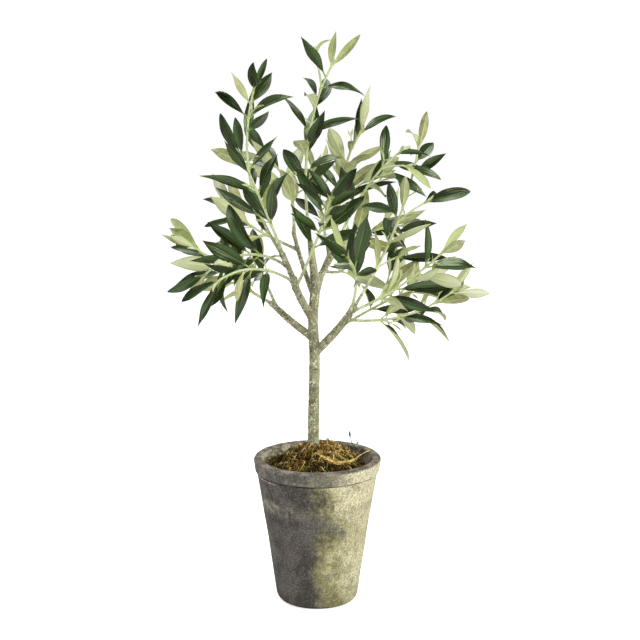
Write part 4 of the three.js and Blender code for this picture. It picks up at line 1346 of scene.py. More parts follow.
def leaf_finish(name, light, dark, rib, stalk, roughness, vein_depth, rib_width, cool=(255, 255, 255),
                gloss=0.4, painted_sheen_half=None, edge=(124, 114, 62), edge_share=0.5, base_share=0.4):
    """One side of a leaf. On many leaves one half of the blade is painted brighter than the other, up to the
    rib, as a painted sheen.
    The veins leave the rib at a very low angle, so that they run almost lengthwise."""
    finish = Finish(name)
    tone = finish.point_value("tone")
    across = finish.point_value("across")
    along = finish.point_value("along")
    off_rib = finish.calculate("ABSOLUTE", across)
    second_tone = finish.calculate("FRACT", finish.times(tone, 7.0))
    blade = finish.shade(second_tone, finish.mix(tone, dark, light), cool)
    blade = finish.blotched(blade, (120, 0.4, 0.65, 0.4, light))
    if painted_sheen_half:
        # Painted sheen: on many leaves one half of the blade, up to the rib, is mixed towards a brighter
        # green, as where one half of a folded leaf catches the light.
        third_tone = finish.calculate("FRACT", finish.times(tone, 23.0))
        leaning = finish.times(across, finish.scaled(third_tone, 4.0, -2.0))
        half = finish.times(finish.ease(leaning, 0.0, 0.75), finish.ease(along, 0.98, 0.72))
        half = finish.times(half, finish.ease(along, 0.12, 0.42, 0.0, 0.62))
        blade = finish.mix(half, blade, painted_sheen_half)
    slant = finish.scaled(off_rib, VEINS[0], finish.times(along, VEINS[1]))
    veins = finish.scaled(finish.calculate("SINE", slant), 0.5, 0.5)
    blade = finish.mix(finish.times(veins, VEIN_SHARE), blade, rib)
    blade = finish.mix(finish.ease(off_rib, 0.66, 1.0, 0.0, edge_share), blade, edge)
    blade = finish.mix(finish.ease(along, 0.7, 0.1, 0.0, base_share), blade, stalk)
    near_rib = finish.times(finish.ease(off_rib, rib_width, 0.02), finish.ease(along, 1.0, 0.3, 0.15, 0.8))
    blade = finish.mix(near_rib, blade, rib)
    finish.surface(finish.mix(finish.ease(along, 0.2, 0.08), blade, stalk), roughness, gloss)
    finish.shader.inputs["Specular Tint"].default_value = SHEEN_TINT
    finish.bump(veins, vein_depth, 0.0004)
    return finish.material


upper_dark = leaf_finish("leaf_upper_dark", light=(36, 52, 14), dark=(4, 8, 0), rib=(98, 116, 62),
                         stalk=(146, 160, 82), roughness=0.26, vein_depth=0.17, rib_width=0.09,
                         cool=(230, 255, 236), gloss=0.6, painted_sheen_half=(80, 108, 68), edge=(30, 30, 10),
                         edge_share=0.6, base_share=0.0)
under_dark = leaf_finish("leaf_underside", light=(208, 213, 172), dark=(120, 118, 54), rib=(220, 226, 168),
                         stalk=(188, 198, 124), roughness=0.62, vein_depth=0.08, rib_width=0.14)
upper_fresh = leaf_finish("leaf_upper_fresh", light=(184, 196, 142), dark=(110, 120, 50), rib=(208, 214, 164),
                          stalk=(192, 204, 128), roughness=0.45, vein_depth=0.08, rib_width=0.1)
under_fresh = leaf_finish("leaf_underside_fresh", light=(214, 217, 188), dark=(174, 176, 142),
                          rib=(224, 226, 184), stalk=(202, 212, 142), roughness=0.62, vein_depth=0.08,
                          rib_width=0.14)
print("leaf finishes:", [material.name for material in (upper_dark, under_dark, upper_fresh, under_fresh)])

# %% Leaves and stems as pieces
stems = stem_gather.build("stems", stem_material)
twigs = twig_gather.build("twigs", stem_material)
leaves_dark = leaf_gather["dark"].build("leaves_dark", upper_dark, under_dark)
leaves_fresh = leaf_gather["fresh"].build("leaves_fresh", upper_fresh, under_fresh)
leaves_young = leaf_gather["young"].build("leaves_young", upper_fresh, under_fresh)

# %% [markdown]
# ## Clay pot
# The pot is thrown or pressed clay, fired and then left out of doors: its wall is slightly uneven, the
# collar's lower edge is a groove cut by hand that wanders and has lost chips, and fine cracks run down from
# it. It is a turned profile, so the mesh starts as rings of points in the CAD's own profile, with the rings
# packed closely at the groove, and each point is then moved in or out by noise, chips and cracks. Bump alone
# would leave the groove's edge a perfect circle.

# %% Profile of the pot
POT_HEIGHT = 159
POT_FOOT_RADIUS = 42.2
POT_COLLAR_RADIUS = 65.0
COLLAR_FOOT = 144.5
COLLAR_RADIUS = 66.6
RIM_RADIUS = 68.2
RIM_ROUNDING = 3
RIM_FOOT = POT_HEIGHT - RIM_ROUNDING
MOUTH_RADIUS = 58.7
POT_WALL = 9.5
FILL_TOP = 140
POT_FLOOR = 12
FOOT_ROUNDING = 9
FLAT_RINGS = (0.0, 16.0, 28.0)
GROOVE_TOP = 149.5
POT_SIDES = 400


def side_radius(z):
    """The outside of the tapered wall."""
    return blend(POT_FOOT_RADIUS, POT_COLLAR_RADIUS, z / COLLAR_FOOT)


def inner_radius(z):
    """The inside of the wall."""
    if z < FILL_TOP:
        return side_radius(z) - POT_WALL
    return blend(side_radius(FILL_TOP) - POT_WALL, MOUTH_RADIUS, (z - FILL_TOP) / (RIM_FOOT - FILL_TOP))


def collar_radius(z):
    """The outside of the collar, which leans out a little."""
    return blend(COLLAR_RADIUS, RIM_RADIUS, (z - COLLAR_FOOT) / (RIM_FOOT - COLLAR_FOOT))


def groove_radius(z):
    """The step from the wall out to the collar."""
    return float(blend(side_radius(min(z, 143.1)), collar_radius(z), smooth_step(142.7, 144.7, z)))


def arc(radius, z, size, start, end, steps):
    """Part of a circle round a place on the profile. Its quarter turns count outwards from straight up."""
    angles = np.linspace(start, end, steps) * (math.pi / 2)
    return [(radius + size * math.sin(angle), z + size * math.cos(angle)) for angle in angles]


profile = [(radius, 0.0) for radius in FLAT_RINGS]
profile += arc(side_radius(FOOT_ROUNDING) - FOOT_ROUNDING, FOOT_ROUNDING, FOOT_ROUNDING, 2, 1, 10)
profile += [(side_radius(z), z) for z in np.linspace(11, 138.5, 88)]
profile += [(groove_radius(z), z) for z in np.linspace(139.1, GROOVE_TOP, 28)]
profile += [(collar_radius(z), z) for z in np.linspace(150.4, RIM_FOOT, 8)]
profile += arc(RIM_RADIUS - RIM_ROUNDING, RIM_FOOT, RIM_ROUNDING, 1, 0, 8)[1:]
profile += [(radius, float(POT_HEIGHT)) for radius in (64.0, 62.9)]
profile += arc(MOUTH_RADIUS + RIM_ROUNDING, RIM_FOOT, RIM_ROUNDING, 0, -1, 8)
profile += [(inner_radius(z), z) for z in np.linspace(154.5, FILL_TOP, 12)]
profile += [(inner_radius(z), z) for z in np.linspace(134, POT_FLOOR, 8)]
profile += [(radius, float(POT_FLOOR)) for radius in (14.0, 0.0)]
profile = np.array(profile)
print("pot profile:", len(profile), "rings")

# %% Rings of points
def rings_round(radii, sides, first=0.0):
    """Rings of points as seen from above: how far each point lies to the right and to the back."""
    angles = np.arange(sides) * (2 * math.pi / sides) + first
    return np.outer(radii, np.cos(angles)), np.outer(radii, np.sin(angles))


def fan(middle, first, sides, upwards):
    """Three-cornered faces from a middle point to a ring of points."""
    edges = [(first + k, first + (k + 1) % sides) for k in range(sides)]
    return [(middle, a, b) if upwards else (middle, b, a) for a, b in edges]


rows = profile[1:-1]
ring_x, ring_y = rings_round(rows[:, 0], POT_SIDES, -math.pi / 2)
ring_z = np.repeat(rows[:, 1][:, None], POT_SIDES, axis=1)
pot_points = np.stack([ring_x, ring_y, ring_z], axis=2).reshape(-1, 3)
foot_centre = len(pot_points)
pot_points = np.concatenate([pot_points, [(0, 0, 0), (0, 0, POT_FLOOR)]])
pot_faces = faces_between(len(rows), POT_SIDES)
pot_faces += fan(foot_centre, 0, POT_SIDES, False)
pot_faces += fan(foot_centre + 1, foot_centre - POT_SIDES, POT_SIDES, True)
print("pot points:", len(pot_points))

# %% Uneven wall, groove, chips and cracks
SWELL_AT_FOOT = (16, 16, 0.7)
WAIST = (95, 30, -0.5)
GROOVE_HEIGHT = 143.5
GROOVE_WANDER = ((1.0, 2.0, 0.55), (0.25, 8.0, 0.3))
GROOVE_DEPTH = 1.15
GROOVE_DEEPER = 0.7
GROOVE_BREADTH = 0.62
DEEP_GROOVE = (-1.05, 0.35, 0.9)
CHIP_DEPTH = 1.6
CHIP_LINE = (145.0, 1.6)
RIM_WEAR = 1.2
# Each crack has its turn round the pot and its height at both ends, its depth and its breadth.
CRACKS = [
    (-0.98, -0.84, 141.5, 118, 1.4, 0.9),
    (-0.5, -0.52, 120, 90, 0.75, 0.6),
    (0.42, 0.5, 152, 147, 0.5, 0.6),
]
radius = np.hypot(pot_points[:, 0], pot_points[:, 1])
outward = pot_points * np.array((1, 1, 0)) / np.maximum(radius, 1e-6)[:, None]
turn = np.arctan2(pot_points[:, 0], -pot_points[:, 1])
z = pot_points[:, 2]
outside = (radius > np.array([inner_radius(height) for height in z]) + 4) & (z > 1.0)
inside = (~outside) & (radius > 40) & (z > POT_FLOOR + 1)
wobble = noise_layers(pot_points, (42.0, 0.0, 0.5), (13.0, 9.0, 0.18))
for middle, reach, swell in (SWELL_AT_FOOT, WAIST):
    wobble = wobble + swell * bell(z, middle, reach)
rough = noise_layers(pot_points, (2.6, 3.0, 0.09), (6.0, 31.0, 0.1))
pits = -patches(pot_points, 2.4, 57.0, 0.42)
ring_place = np.stack([np.cos(turn) * 3, np.sin(turn) * 3, np.zeros(len(turn))], axis=1)
deep_turn, deep_reach, deep = DEEP_GROOVE
groove_depth = GROOVE_DEPTH + GROOVE_DEEPER * noise_at(ring_place, 0.35, 15.0)
groove_depth = groove_depth + deep * bell(turn, deep_turn, deep_reach)
groove_height = GROOVE_HEIGHT + noise_layers(ring_place, *GROOVE_WANDER)
groove = -groove_depth * bell(z, groove_height, GROOVE_BREADTH)
chips = -CHIP_DEPTH * patches(pot_points, 5.5, 77.0, 0.38) * bell(z, *CHIP_LINE)
rim_wear = -RIM_WEAR * patches(pot_points, 9.0, 91.0, 0.2) * smooth_step(153, 158, z)
cracks = np.zeros(len(z))
for top_turn, low_turn, top_z, low_z, depth, breadth in CRACKS:
    share = np.clip((top_z - z) / (top_z - low_z), 0, 1)
    ends = smooth_step(0, 0.12, share) * smooth_step(1, 0.75, share)
    line_turn = blend(top_turn, low_turn, share) + 0.02 * noise_at(pot_points, 5.0, 21.0)
    cracks = cracks - depth * ends * bell((turn - line_turn) * radius, 0, breadth)
push = np.where(outside, wobble + rough + pits + groove + chips + rim_wear + cracks,
                np.where(inside, wobble * 0.6 + rough + pits, 0.0))
pot_points = pot_points + outward * push[:, None]
top_dip = np.clip(noise_at(pot_points, 16.0, 63.0), -1, 1) * 0.35 + rough
pot_points[:, 2] += np.where(z > 157.5, top_dip, 0.0)
# Painted highlight: a pale line along the lower lip of the groove on the left, where the edge would catch the
# light, broken up by noise.
worn = bell(z, 141.6, 0.7) * smooth_step(-1.35, -1.2, turn) * smooth_step(-0.7, -0.85, turn)
worn = worn * outside * np.clip(0.6 + noise_at(pot_points, 3.0, 45.0), 0, 1)
# How deep a point lies in the groove, a chip, a crack or a pit: the clay finish paints these places darker,
# as painted shade.
hollow = outside * np.clip(-(groove + chips + cracks + pits * 0.8) / 1.1, 0, 1)
print("pot wall moved from", round(push.min(), 2), "to", round(push.max(), 2), "mm")

# %% [markdown]
# ## Clay finish
# The clay has no glaze. Its left side has stayed a dark umber grey, damp algae has turned the lower middle
# yellow-green, and lime has bloomed cream on the right, with a worn grey-brown rim. The border between them
# is ragged. One gradient across the pot, pushed about by noise, deals out those three bands, and each band
# has its own smaller blotches and specks. Round the back, drifts of damp and of pale salt carry on from them.
# Painting all this on as a picture would tie the finish to one view.

# %% Clay material
UMBER_DARK = (75, 71, 68)
UMBER_LIGHT = (99, 95, 91)
UMBER_RED = (104, 90, 86)
UMBER_GREEN = (112, 112, 92)
ALGAE_DARK = (138, 137, 88)
ALGAE_LIGHT = (168, 165, 116)
LIME = (226, 220, 182)
STAIN_WAVE = 2 * math.pi / 0.1
STAIN_TOP = 0.1
STAIN_SWING = 0.008
clay = Finish("weathered_clay")
place = clay.place()
x, y, z = clay.split(place)
broad = clay.noise(place, 19.0, 5.0, 0.62)
ragged = clay.noise(place, 150.0, 5.0, 0.65)
wave = clay.calculate("COSINE", clay.scaled(z, STAIN_WAVE, -STAIN_TOP * STAIN_WAVE))
drift = clay.plus(clay.scaled(broad, 0.07, -0.035), clay.scaled(ragged, 0.03, -0.015))
border = clay.plus(x, clay.scaled(wave, -STAIN_SWING, drift))
umber = clay.blotched(UMBER_DARK, (42, 0.42, 0.6, 1.0, UMBER_LIGHT), (26, 0.5, 0.66, 0.6, UMBER_RED),
                      (33, 0.54, 0.68, 0.5, UMBER_GREEN))
bloom = clay.blotched(ALGAE_DARK, (55, 0.4, 0.62, 1.0, ALGAE_LIGHT), detail=5.0)
lime_share = clay.plus(clay.times(z, 5.0), clay.times(border, 22.0))
lime = clay.ease(clay.scaled(broad, 0.7, lime_share), 0.8, 1.75)
lime = clay.times(lime, clay.ease(broad, 0.36, 0.56, 0.72, 1.0))
colour = clay.mix(clay.ease(border, -0.011, 0.02), umber, clay.mix(lime, bloom, LIME))
print("clay bands:", len(clay.tree.nodes), "nodes")

# %% A grey patch and drifting clouds
PATCH_GREY = (112, 110, 108)
CLOUD_GREY = (100, 99, 98)
DAMP_DARK = (98, 96, 82)
DAMP_GREEN = (118, 120, 82)
SALT = (170, 166, 136)
PATCH_PLACE = (0.021, 0.092)
PATCH_BREADTH = 0.0085
PATCH_LENGTH = 0.021


def reaches_off(value, middle, reach):
    """How far a value lies from a middle, in reaches, squared."""
    steps = clay.scaled(value, 1 / reach, -middle / reach)
    return clay.times(steps, steps)


breadthways = reaches_off(clay.plus(x, z), PATCH_PLACE[0] + PATCH_PLACE[1], PATCH_BREADTH)
lengthways = reaches_off(clay.calculate("SUBTRACT", x, z), PATCH_PLACE[0] - PATCH_PLACE[1], PATCH_LENGTH)
patch = clay.plus(clay.plus(breadthways, lengthways), clay.scaled(ragged, 6.0, -3.0))
patch = clay.times(clay.ease(patch, 1.9, 0.0), clay.ease(y, 0.0, -0.02))
colour = clay.mix(clay.times(patch, 0.5), colour, PATCH_GREY)
colour = clay.blotched(colour, (24, 0.58, 0.7, 0.6, CLOUD_GREY), detail=4.0)
behind = clay.ease(y, -0.022, 0.012)
damp = clay.times(clay.blotches(15, 0.49, 0.6, 5.0), behind)
damp = clay.times(damp, clay.ease(z, 0.15, 0.05, 0.5, 0.8))
colour = clay.mix(damp, colour, clay.blotched(DAMP_DARK, (70, 0.42, 0.6, 1.0, DAMP_GREEN)))
salt = clay.times(clay.blotches(21, 0.54, 0.66, 5.0), clay.times(behind, 0.55))
colour = clay.mix(salt, colour, SALT)
print("clay with its clouds:", len(clay.tree.nodes), "nodes")

# %% Collar, rim and inner wall
COLLAR_DARK = (100, 97, 94)
COLLAR_BROWN = (140, 133, 119)
COLLAR_PALE = (230, 224, 192)
RIM_DARK = (108, 101, 90)
RIM_LIGHT = (156, 149, 134)
INNER_SHADE_DARK = (92, 84, 68)
INNER_SHADE_BROWN = (150, 140, 118)
INNER_LIT_BASE = (150, 138, 116)
INNER_LIT_PALE = (236, 226, 204)
collar = clay.times(clay.ease(z, 0.143, 0.146), 0.8)
collar_colour = clay.blotched(COLLAR_DARK, (60, 0.42, 0.62, 1.0, COLLAR_BROWN))
collar_colour = clay.mix(clay.ease(clay.plus(x, drift), 0.018, 0.046), collar_colour, COLLAR_PALE)
colour = clay.mix(collar, colour, collar_colour)
rim_colour = clay.blotched(RIM_DARK, (80, 0.42, 0.6, 1.0, RIM_LIGHT))
colour = clay.mix(clay.ease(z, 0.1562, 0.1582), colour, rim_colour)
from_axis = clay.calculate("SQRT", clay.scaled(x, x, clay.times(y, y)))
within = clay.times(clay.ease(from_axis, 0.0612, 0.0592), clay.ease(z, 0.1590, 0.1565))
within = clay.times(within, clay.ease(z, 0.10, 0.13))
# Painted light and shade on the inner wall: the right side, which faces away from the light, is painted dark
# as shade, and the left and back, which face the light from the right, are painted pale as lit.
inner_light_and_shade = clay.blotched(INNER_SHADE_DARK, (90, 0.42, 0.6, 1.0, INNER_SHADE_BROWN))
inner_lit_colour = clay.blotched(INNER_LIT_BASE, (130, 0.42, 0.58, 1.0, INNER_LIT_PALE))
inner_light_and_shade = clay.mix(clay.ease(clay.plus(x, drift), 0.006, -0.03), inner_light_and_shade, inner_lit_colour)
colour = clay.mix(within, colour, inner_light_and_shade)
print("clay with its collar:", len(clay.tree.nodes), "nodes")

# %% Wiped streaks, turning lines and grain
UPRIGHT_STREAKS = (1.0, 1.0, 0.12)
LEVEL_STREAKS = (0.07, 0.07, 1.0)
WIPED_TINT = (204, 202, 202)
TURNED_TINT = (202, 199, 195)
MOTTLE_TINT = (196, 194, 191)
PALE_FLECK = (186, 178, 154)
DARK_SPECK = (48, 44, 36)
LIGHT_SPECK = (204, 198, 172)
LIP_HIGHLIGHT = (206, 196, 176)
HOLLOW_SHADE = (46, 40, 33)


def streaks(squeeze, scale):
    """Noise drawn out along the pot's height or round it."""
    stretch = clay.tree.nodes.new("ShaderNodeVectorMath")
    stretch.operation = "MULTIPLY"
    stretch.inputs[1].default_value = squeeze
    clay.tree.links.new(place, stretch.inputs[0])
    return clay.noise(stretch.outputs[0], scale, 2.0)


wiped = streaks(UPRIGHT_STREAKS, 420.0)
turned = streaks(LEVEL_STREAKS, 520.0)
coarse_height, coarse_specks = clay.grain(520, 0.28)
fine_height, fine_specks = clay.grain(1100, 0.34)
colour = clay.shade(clay.ease(wiped, 0.45, 0.65, 0.0, 0.42), colour, WIPED_TINT)
colour = clay.shade(clay.ease(turned, 0.5, 0.68, 0.0, 0.24), colour, TURNED_TINT)
colour = clay.shade(clay.blotches(560, 0.42, 0.6), colour, MOTTLE_TINT)
colour = clay.blotched(colour, (700, 0.58, 0.7, 0.26, PALE_FLECK), detail=2.0)
colour = clay.mix(clay.times(coarse_specks, 0.4), colour, DARK_SPECK)
colour = clay.mix(clay.times(fine_specks, 0.07), colour, LIGHT_SPECK)
# Painted highlight along the lower lip of the groove.
colour = clay.mix(clay.times(clay.point_value("worn"), 0.8), colour, LIP_HIGHLIGHT)
# Painted shade: the groove, chips, cracks and pits are painted darker, the more so the deeper they are.
colour = clay.mix(clay.times(clay.point_value("hollow"), 0.8), colour, HOLLOW_SHADE)
clay.surface(colour, 0.93, 0.25)
clay.bump(clay.plus(clay.scaled(fine_height, 0.35, coarse_height), clay.times(turned, 0.6)), 0.55, 0.0009)

# %% Pot as a piece
pot_gather = Gatherer("hollow", "worn")
pot_gather.add(pot_points, pot_faces, hollow=hollow, worn=worn)
pot = pot_gather.build("clay_pot", clay.material)

# %% [markdown]
# ## Moss
# The foot of the tree is hidden by dried moss: a low mound of dark green and olive cushions with a tangle of
# curly golden and rust-coloured fibres lying over it. Fur or particles would not travel with the part, so
# each fibre is a small tube of its own with a curling path that follows the mound. Four kinds are gathered
# apart by colour. Short bristling tufts stand between them, and a few long strands lie over the front.

# %% The mound
MOSS_SEED = 41
MOSS_REACH = 56.4
MOSS_PEAK = 174
MOSS_EDGE = 148
MOSS_LUMP = 1.5
CUSHION_SIZE = 9.0
CUSHION_HEIGHT = 6.0
HAIR = (2.6, 12.0, 1.1)
WIDE_LUMPS = (15.0, 33.0, 3.6)
BED_DEPTH = 5.4
SKIRT_FOOT = 141.0
SKIRT_SHARE = 0.985
MOUND_RINGS = 64
MOUND_SIDES = 200


def moss_height(x, y, share):
    """The mound of the CAD source."""
    broad_wave = np.sin(0.31 * x + 0.9) * np.cos(0.27 * y - 0.4)
    fine_wave = 0.6 * np.sin(0.62 * x - 0.45 * y)
    return blend(MOSS_PEAK, MOSS_EDGE, share ** 1.5) + MOSS_LUMP * (broad_wave + fine_wave)


def flat_places(x, y):
    """Places on the ground as an array of points."""
    return np.stack([np.ravel(x), np.ravel(y), np.zeros(np.size(x))], axis=1)


def cushion_at(x, y):
    """How full the cushion is at a place: 0 in the seam between two, where the fibres are painted in shade,
    and up to about 0.6.
    """
    return np.abs(noise_at(flat_places(x, y), CUSHION_SIZE, 4.0)).reshape(np.shape(x))


def mound_at(x, y):
    """The mound with its cushions, over any place inside the pot."""
    share = np.clip(np.hypot(x, y) / MOSS_REACH, 0, 1)
    lumps = noise_layers(flat_places(x, y), HAIR, WIDE_LUMPS).reshape(np.shape(x))
    sunk = BED_DEPTH + 1.4 * smooth_step(0.8, 1.0, share) - 1.2 * smooth_step(0, -30, x)
    sunk = sunk - 0.8 * smooth_step(8, 26, x) + 2.4 * smooth_step(28, 44, x)
    return moss_height(x, y, share) - sunk + cushion_at(x, y) * CUSHION_HEIGHT + lumps


mound_radii = np.linspace(0, 1, MOUND_RINGS + 1)[1:] * MOSS_REACH
mound_x, mound_y = rings_round(mound_radii, MOUND_SIDES)
mound_points = np.stack([mound_x, mound_y, mound_at(mound_x, mound_y)], axis=2).reshape(-1, 3)
skirt = mound_points[-MOUND_SIDES:] * np.array((SKIRT_SHARE, SKIRT_SHARE, 0)) + UP * SKIRT_FOOT
top_middle = len(mound_points) + MOUND_SIDES
middles = [(0, 0, float(mound_at(0.0, 0.0))), (0, 0, SKIRT_FOOT)]
mound_points = np.concatenate([mound_points, skirt, middles])
mound_faces = [(a, d, c, b) for a, b, c, d in faces_between(MOUND_RINGS + 1, MOUND_SIDES)]
mound_faces += fan(top_middle, 0, MOUND_SIDES, True)
mound_faces += fan(top_middle + 1, MOUND_RINGS * MOUND_SIDES, MOUND_SIDES, False)
mound_gather = Gatherer()
mound_gather.add(mound_points, mound_faces)
print("mound points:", mound_gather.count)

# %% Curly fibres
FIBRE_SIDES = 3
FIBRE_STEPS = (7, 13)
FIBRE_WANDER = 0.35
TURN_BACK = math.pi * 0.6
FIBRE_TONES = (-0.45, 0.34)
SHADOW_DEPTH = 1.6
# Each row has a kind, a count, a centre and a spread round it, the fibres' length, curl and thickness, how
# high they rise, and how full a cushion may have to be to carry one.
FIBRES = [
    ("green", 1700, (-8, 4), (38, 34), (3, 8), 0.6, (0.18, 0.34), (0.4, 3.0), 0.6),
    ("green", 320, (-14, 5), (8, 7), (4, 8), 0.5, (0.24, 0.4), (2.0, 5.0), 0.1),
    ("olive", 1000, (-8, 0), (36, 32), (4, 10), 0.55, (0.2, 0.36), (0.5, 3.6), 0.6),
    ("rust", 380, (-4, -9), (20, 15), (10, 20), 0.34, (0.24, 0.44), (1.4, 4.6), 0.4),
    ("rust", 130, (20, 10), (8, 9), (7, 14), 0.4, (0.24, 0.44), (3.0, 8.0), 0.3),
    ("gold", 230, (-2, -15), (22, 13), (9, 17), 0.5, (0.26, 0.48), (2.4, 6.4), 0.4),
    ("gold", 80, (24, 4), (7, 9), (9, 17), 0.28, (0.26, 0.48), (4.0, 9.0), 0.2),
]


def wander(x, y, steps, length, curl):
    """The places of a fibre's steps, which curl one way and turn back at the pot's wall."""
    step = random.uniform(*length) / steps
    heading = random.uniform(0, 2 * math.pi)
    bend = random.normal(0, curl)
    xs = [x]
    ys = [y]
    for _ in range(steps):
        heading += bend + random.normal(0, FIBRE_WANDER)
        ahead = (xs[-1] + step * math.cos(heading), ys[-1] + step * math.sin(heading))
        if math.hypot(*ahead) > MOSS_REACH - 1.0:
            heading += TURN_BACK
        xs.append(xs[-1] + step * math.cos(heading))
        ys.append(ys[-1] + step * math.sin(heading))
    return np.array(xs), np.array(ys)


def add_fibres(gather, count, centre, spread, length, curl, thick, lift, seam):
    """Fibres that start round a centre, keep out of the seams, and wander over the mound."""
    made = 0
    while made < count:
        x, y = random.normal(centre[0], spread[0]), random.normal(centre[1], spread[1])
        fullness = float(cushion_at(x, y))
        size, seed, _ = WIDE_LUMPS
        shadow = max(0.0, -SHADOW_DEPTH * noise.noise(Vector((x / size + seed, y / size + seed, seed))))
        if math.hypot(x, y) > MOSS_REACH - 1.5 or fullness < random.uniform(0, seam):
            continue
        steps = int(random.integers(*FIBRE_STEPS))
        xs, ys = wander(x, y, steps, length, curl)
        shares = np.linspace(0, 1, steps + 1)
        rise = random.uniform(*lift)
        waves = np.abs(np.sin(random.uniform(0, math.pi) + shares * random.uniform(1.5, 5.5)))
        heights = 0.1 + rise * waves * smooth_step(0, 0.3, shares) * random.uniform(0.5, 1.0)
        middles = np.stack([xs, ys, mound_at(xs, ys) + heights], axis=1)
        directions = np.gradient(middles, axis=0)
        directions = directions / np.linalg.norm(directions, axis=1)[:, None]
        widths = random.uniform(*thick) * (1 - 0.55 * shares ** 2)
        # Painted shade: a fibre is painted darker where it lies low on the mound, where the cushion under it
        # is thin, and in the broad low patches of the shadow term; the rest of its tone is its own random
        # draw.
        tones = np.clip(random.uniform(*FIBRE_TONES) + heights * 0.16 + fullness * 0.8 - shadow, 0, 1)
        gather.add(tube_points(middles, directions, widths, FIBRE_SIDES), tube_faces(steps + 1, FIBRE_SIDES),
                   tone=np.repeat(tones, FIBRE_SIDES))
        made += 1


random = np.random.default_rng(MOSS_SEED)
fibre_gather = {kind: Gatherer("tone") for kind in ("green", "olive", "gold", "rust")}
fibre_share = 1.0
for kind, count, *facts in FIBRES:
    add_fibres(fibre_gather[kind], int(count * fibre_share), *facts)
print("fibres:", {kind: len(gather.points) for kind, gather in fibre_gather.items()})

# %% Bristling tufts
GREEN_TUFTS = (520, (1.6, 3.8))
OLIVE_TUFTS = (360, (1.4, 3.4))
BLADES = 6
BLADE_RADIUS = 0.32
TUFT_LEAN = 0.7
BLADE_FACES = [(0, 1, 4, 3), (1, 2, 5, 4), (2, 0, 3, 5), (3, 4, 6), (4, 5, 6), (5, 3, 6), (2, 1, 0)]


def add_tufts(gather, count, height):
    """Small cushions of short blades that stand up from the mound."""
    for _ in range(int(count * fibre_share)):
        angle = random.uniform(0, 2 * math.pi)
        reach = MOSS_REACH * math.sqrt(random.uniform(0, 0.94))
        x, y = reach * math.cos(angle), reach * math.sin(angle)
        foot = np.array((x, y, float(mound_at(x, y)) - 0.4))
        tone = random.uniform(0, 1)
        for _ in range(BLADES):
            lean = np.array((random.normal(0, TUFT_LEAN), random.normal(0, TUFT_LEAN), 1.0))
            blade = unit(lean) * random.uniform(*height)
            side = unit(np.cross(blade, (0.3, 0.8, 0.1))) * BLADE_RADIUS
            other = unit(np.cross(blade, side)) * BLADE_RADIUS
            middle = foot + blade * 0.5 + UP * 0.2
            points = [foot + side, foot - side, foot + other, middle + side, middle - side, middle + other,
                      foot + blade]
            gather.add(points, BLADE_FACES, tone=tone)


add_tufts(fibre_gather["green"], *GREEN_TUFTS)
add_tufts(fibre_gather["olive"], *OLIVE_TUFTS)
print("fibres and blades:", {kind: len(gather.points) for kind, gather in fibre_gather.items()})

# %% Long strands over the front, and a dry sprig
STRAND_STOPS = [(-1, -23, 168.5), (10.4, -30, 164.5), (17, -33, 161.5), (26.1, -30, 160.2),
                (35.1, -22, 158.8), (44.4, -4, 159.4), (56.5, 14, 161.0)]
STRAND_WIDTHS = np.array((0.26, 0.42, 0.46, 0.42, 0.34, 0.22))
STRAND_SPREAD = np.array((1.0, 1.4, 0.8))
STRAND_COUNT = 8
LONG_STRANDS = 2
SIDE_HAIRS = 6
SPRIG_STEM = [(40, 20, 158), (39.5, 21, 163), (37.5, 22, 168.5), (35.7, 22.5, 174)]
SPRIG_BUD = [(35.7, 22.5, 173.5), (35.3, 22.5, 177), (35.1, 22.5, 181)]
SIDE_STEM = [(39.4, 21, 163), (41.2, 21.5, 166), (43, 22, 167)]
SIDE_BUD = [(42.8, 22, 166.8), (44.0, 22, 167.8), (45.0, 22, 169)]
LOOSE_HAIR = [(-13, 14, 170), (-16, 15, 176), (-19, 15, 179), (-21, 14, 179)]


def add_strand(gather, stops, widths, tone, sides=5):
    """A strand through a few stops."""
    line = RoutedLine(stops)
    shares = np.linspace(0, 1, 8 * (len(stops) - 1) + 1)
    middles = [line.point(t) for t in shares]
    directions = [line.direction(t) for t in shares]
    thickness = np.interp(shares, np.linspace(0, 1, len(widths)), widths)
    gather.add(tube_points(middles, directions, thickness, sides), tube_faces(len(shares), sides), tone=tone)
    return line


strand_route = RoutedLine(STRAND_STOPS)
for k in range(STRAND_COUNT):
    is_long = k < LONG_STRANDS
    reach = 1.0 if is_long else random.uniform(0.55, 0.8)
    shares = np.linspace(0.0 if is_long else random.uniform(0, 0.25), reach, 14)
    loose = STRAND_SPREAD * (0.4 if is_long else 1.0)
    stray = random.normal(0, 1.0, 3) * loose * 1.9
    stops = [strand_route.point(t) + stray + random.normal(0, 0.9, 3) * loose for t in shares]
    widths = STRAND_WIDTHS * (1.4 if is_long else 0.95)
    tone = 1.0 if is_long else random.uniform(0.6, 1.0)
    strand = add_strand(fibre_gather["gold"], stops, widths, tone, 4)
    for _ in range(SIDE_HAIRS):
        t = random.uniform(0.05, 0.75)
        root = strand.point(t)
        out = unit(np.array((random.normal(0, 1), random.normal(0, 1), random.normal(0.1, 0.6))))
        length = random.uniform(1.5, 4.5)
        stops = [root, root + out * length * 0.6 + strand.direction(t) * 0.8, root + out * length]
        add_strand(fibre_gather["gold"], stops, (0.4, 0.3, 0.14), random.uniform(0.5, 1.0), 3)
sprig = Gatherer("tone")
add_strand(sprig, SPRIG_STEM, (0.55, 0.52, 0.5, 0.5), 0.4)
add_strand(sprig, SPRIG_BUD, (0.5, 1.25, 0.2), 0.1, 6)
add_strand(sprig, SIDE_STEM, (0.35, 0.32, 0.26), 0.4)
add_strand(sprig, SIDE_BUD, (0.4, 0.95, 0.16), 0.1, 6)
add_strand(fibre_gather["olive"], LOOSE_HAIR, (0.24, 0.2, 0.16, 0.1), 0.9)
print("strands:", STRAND_COUNT)

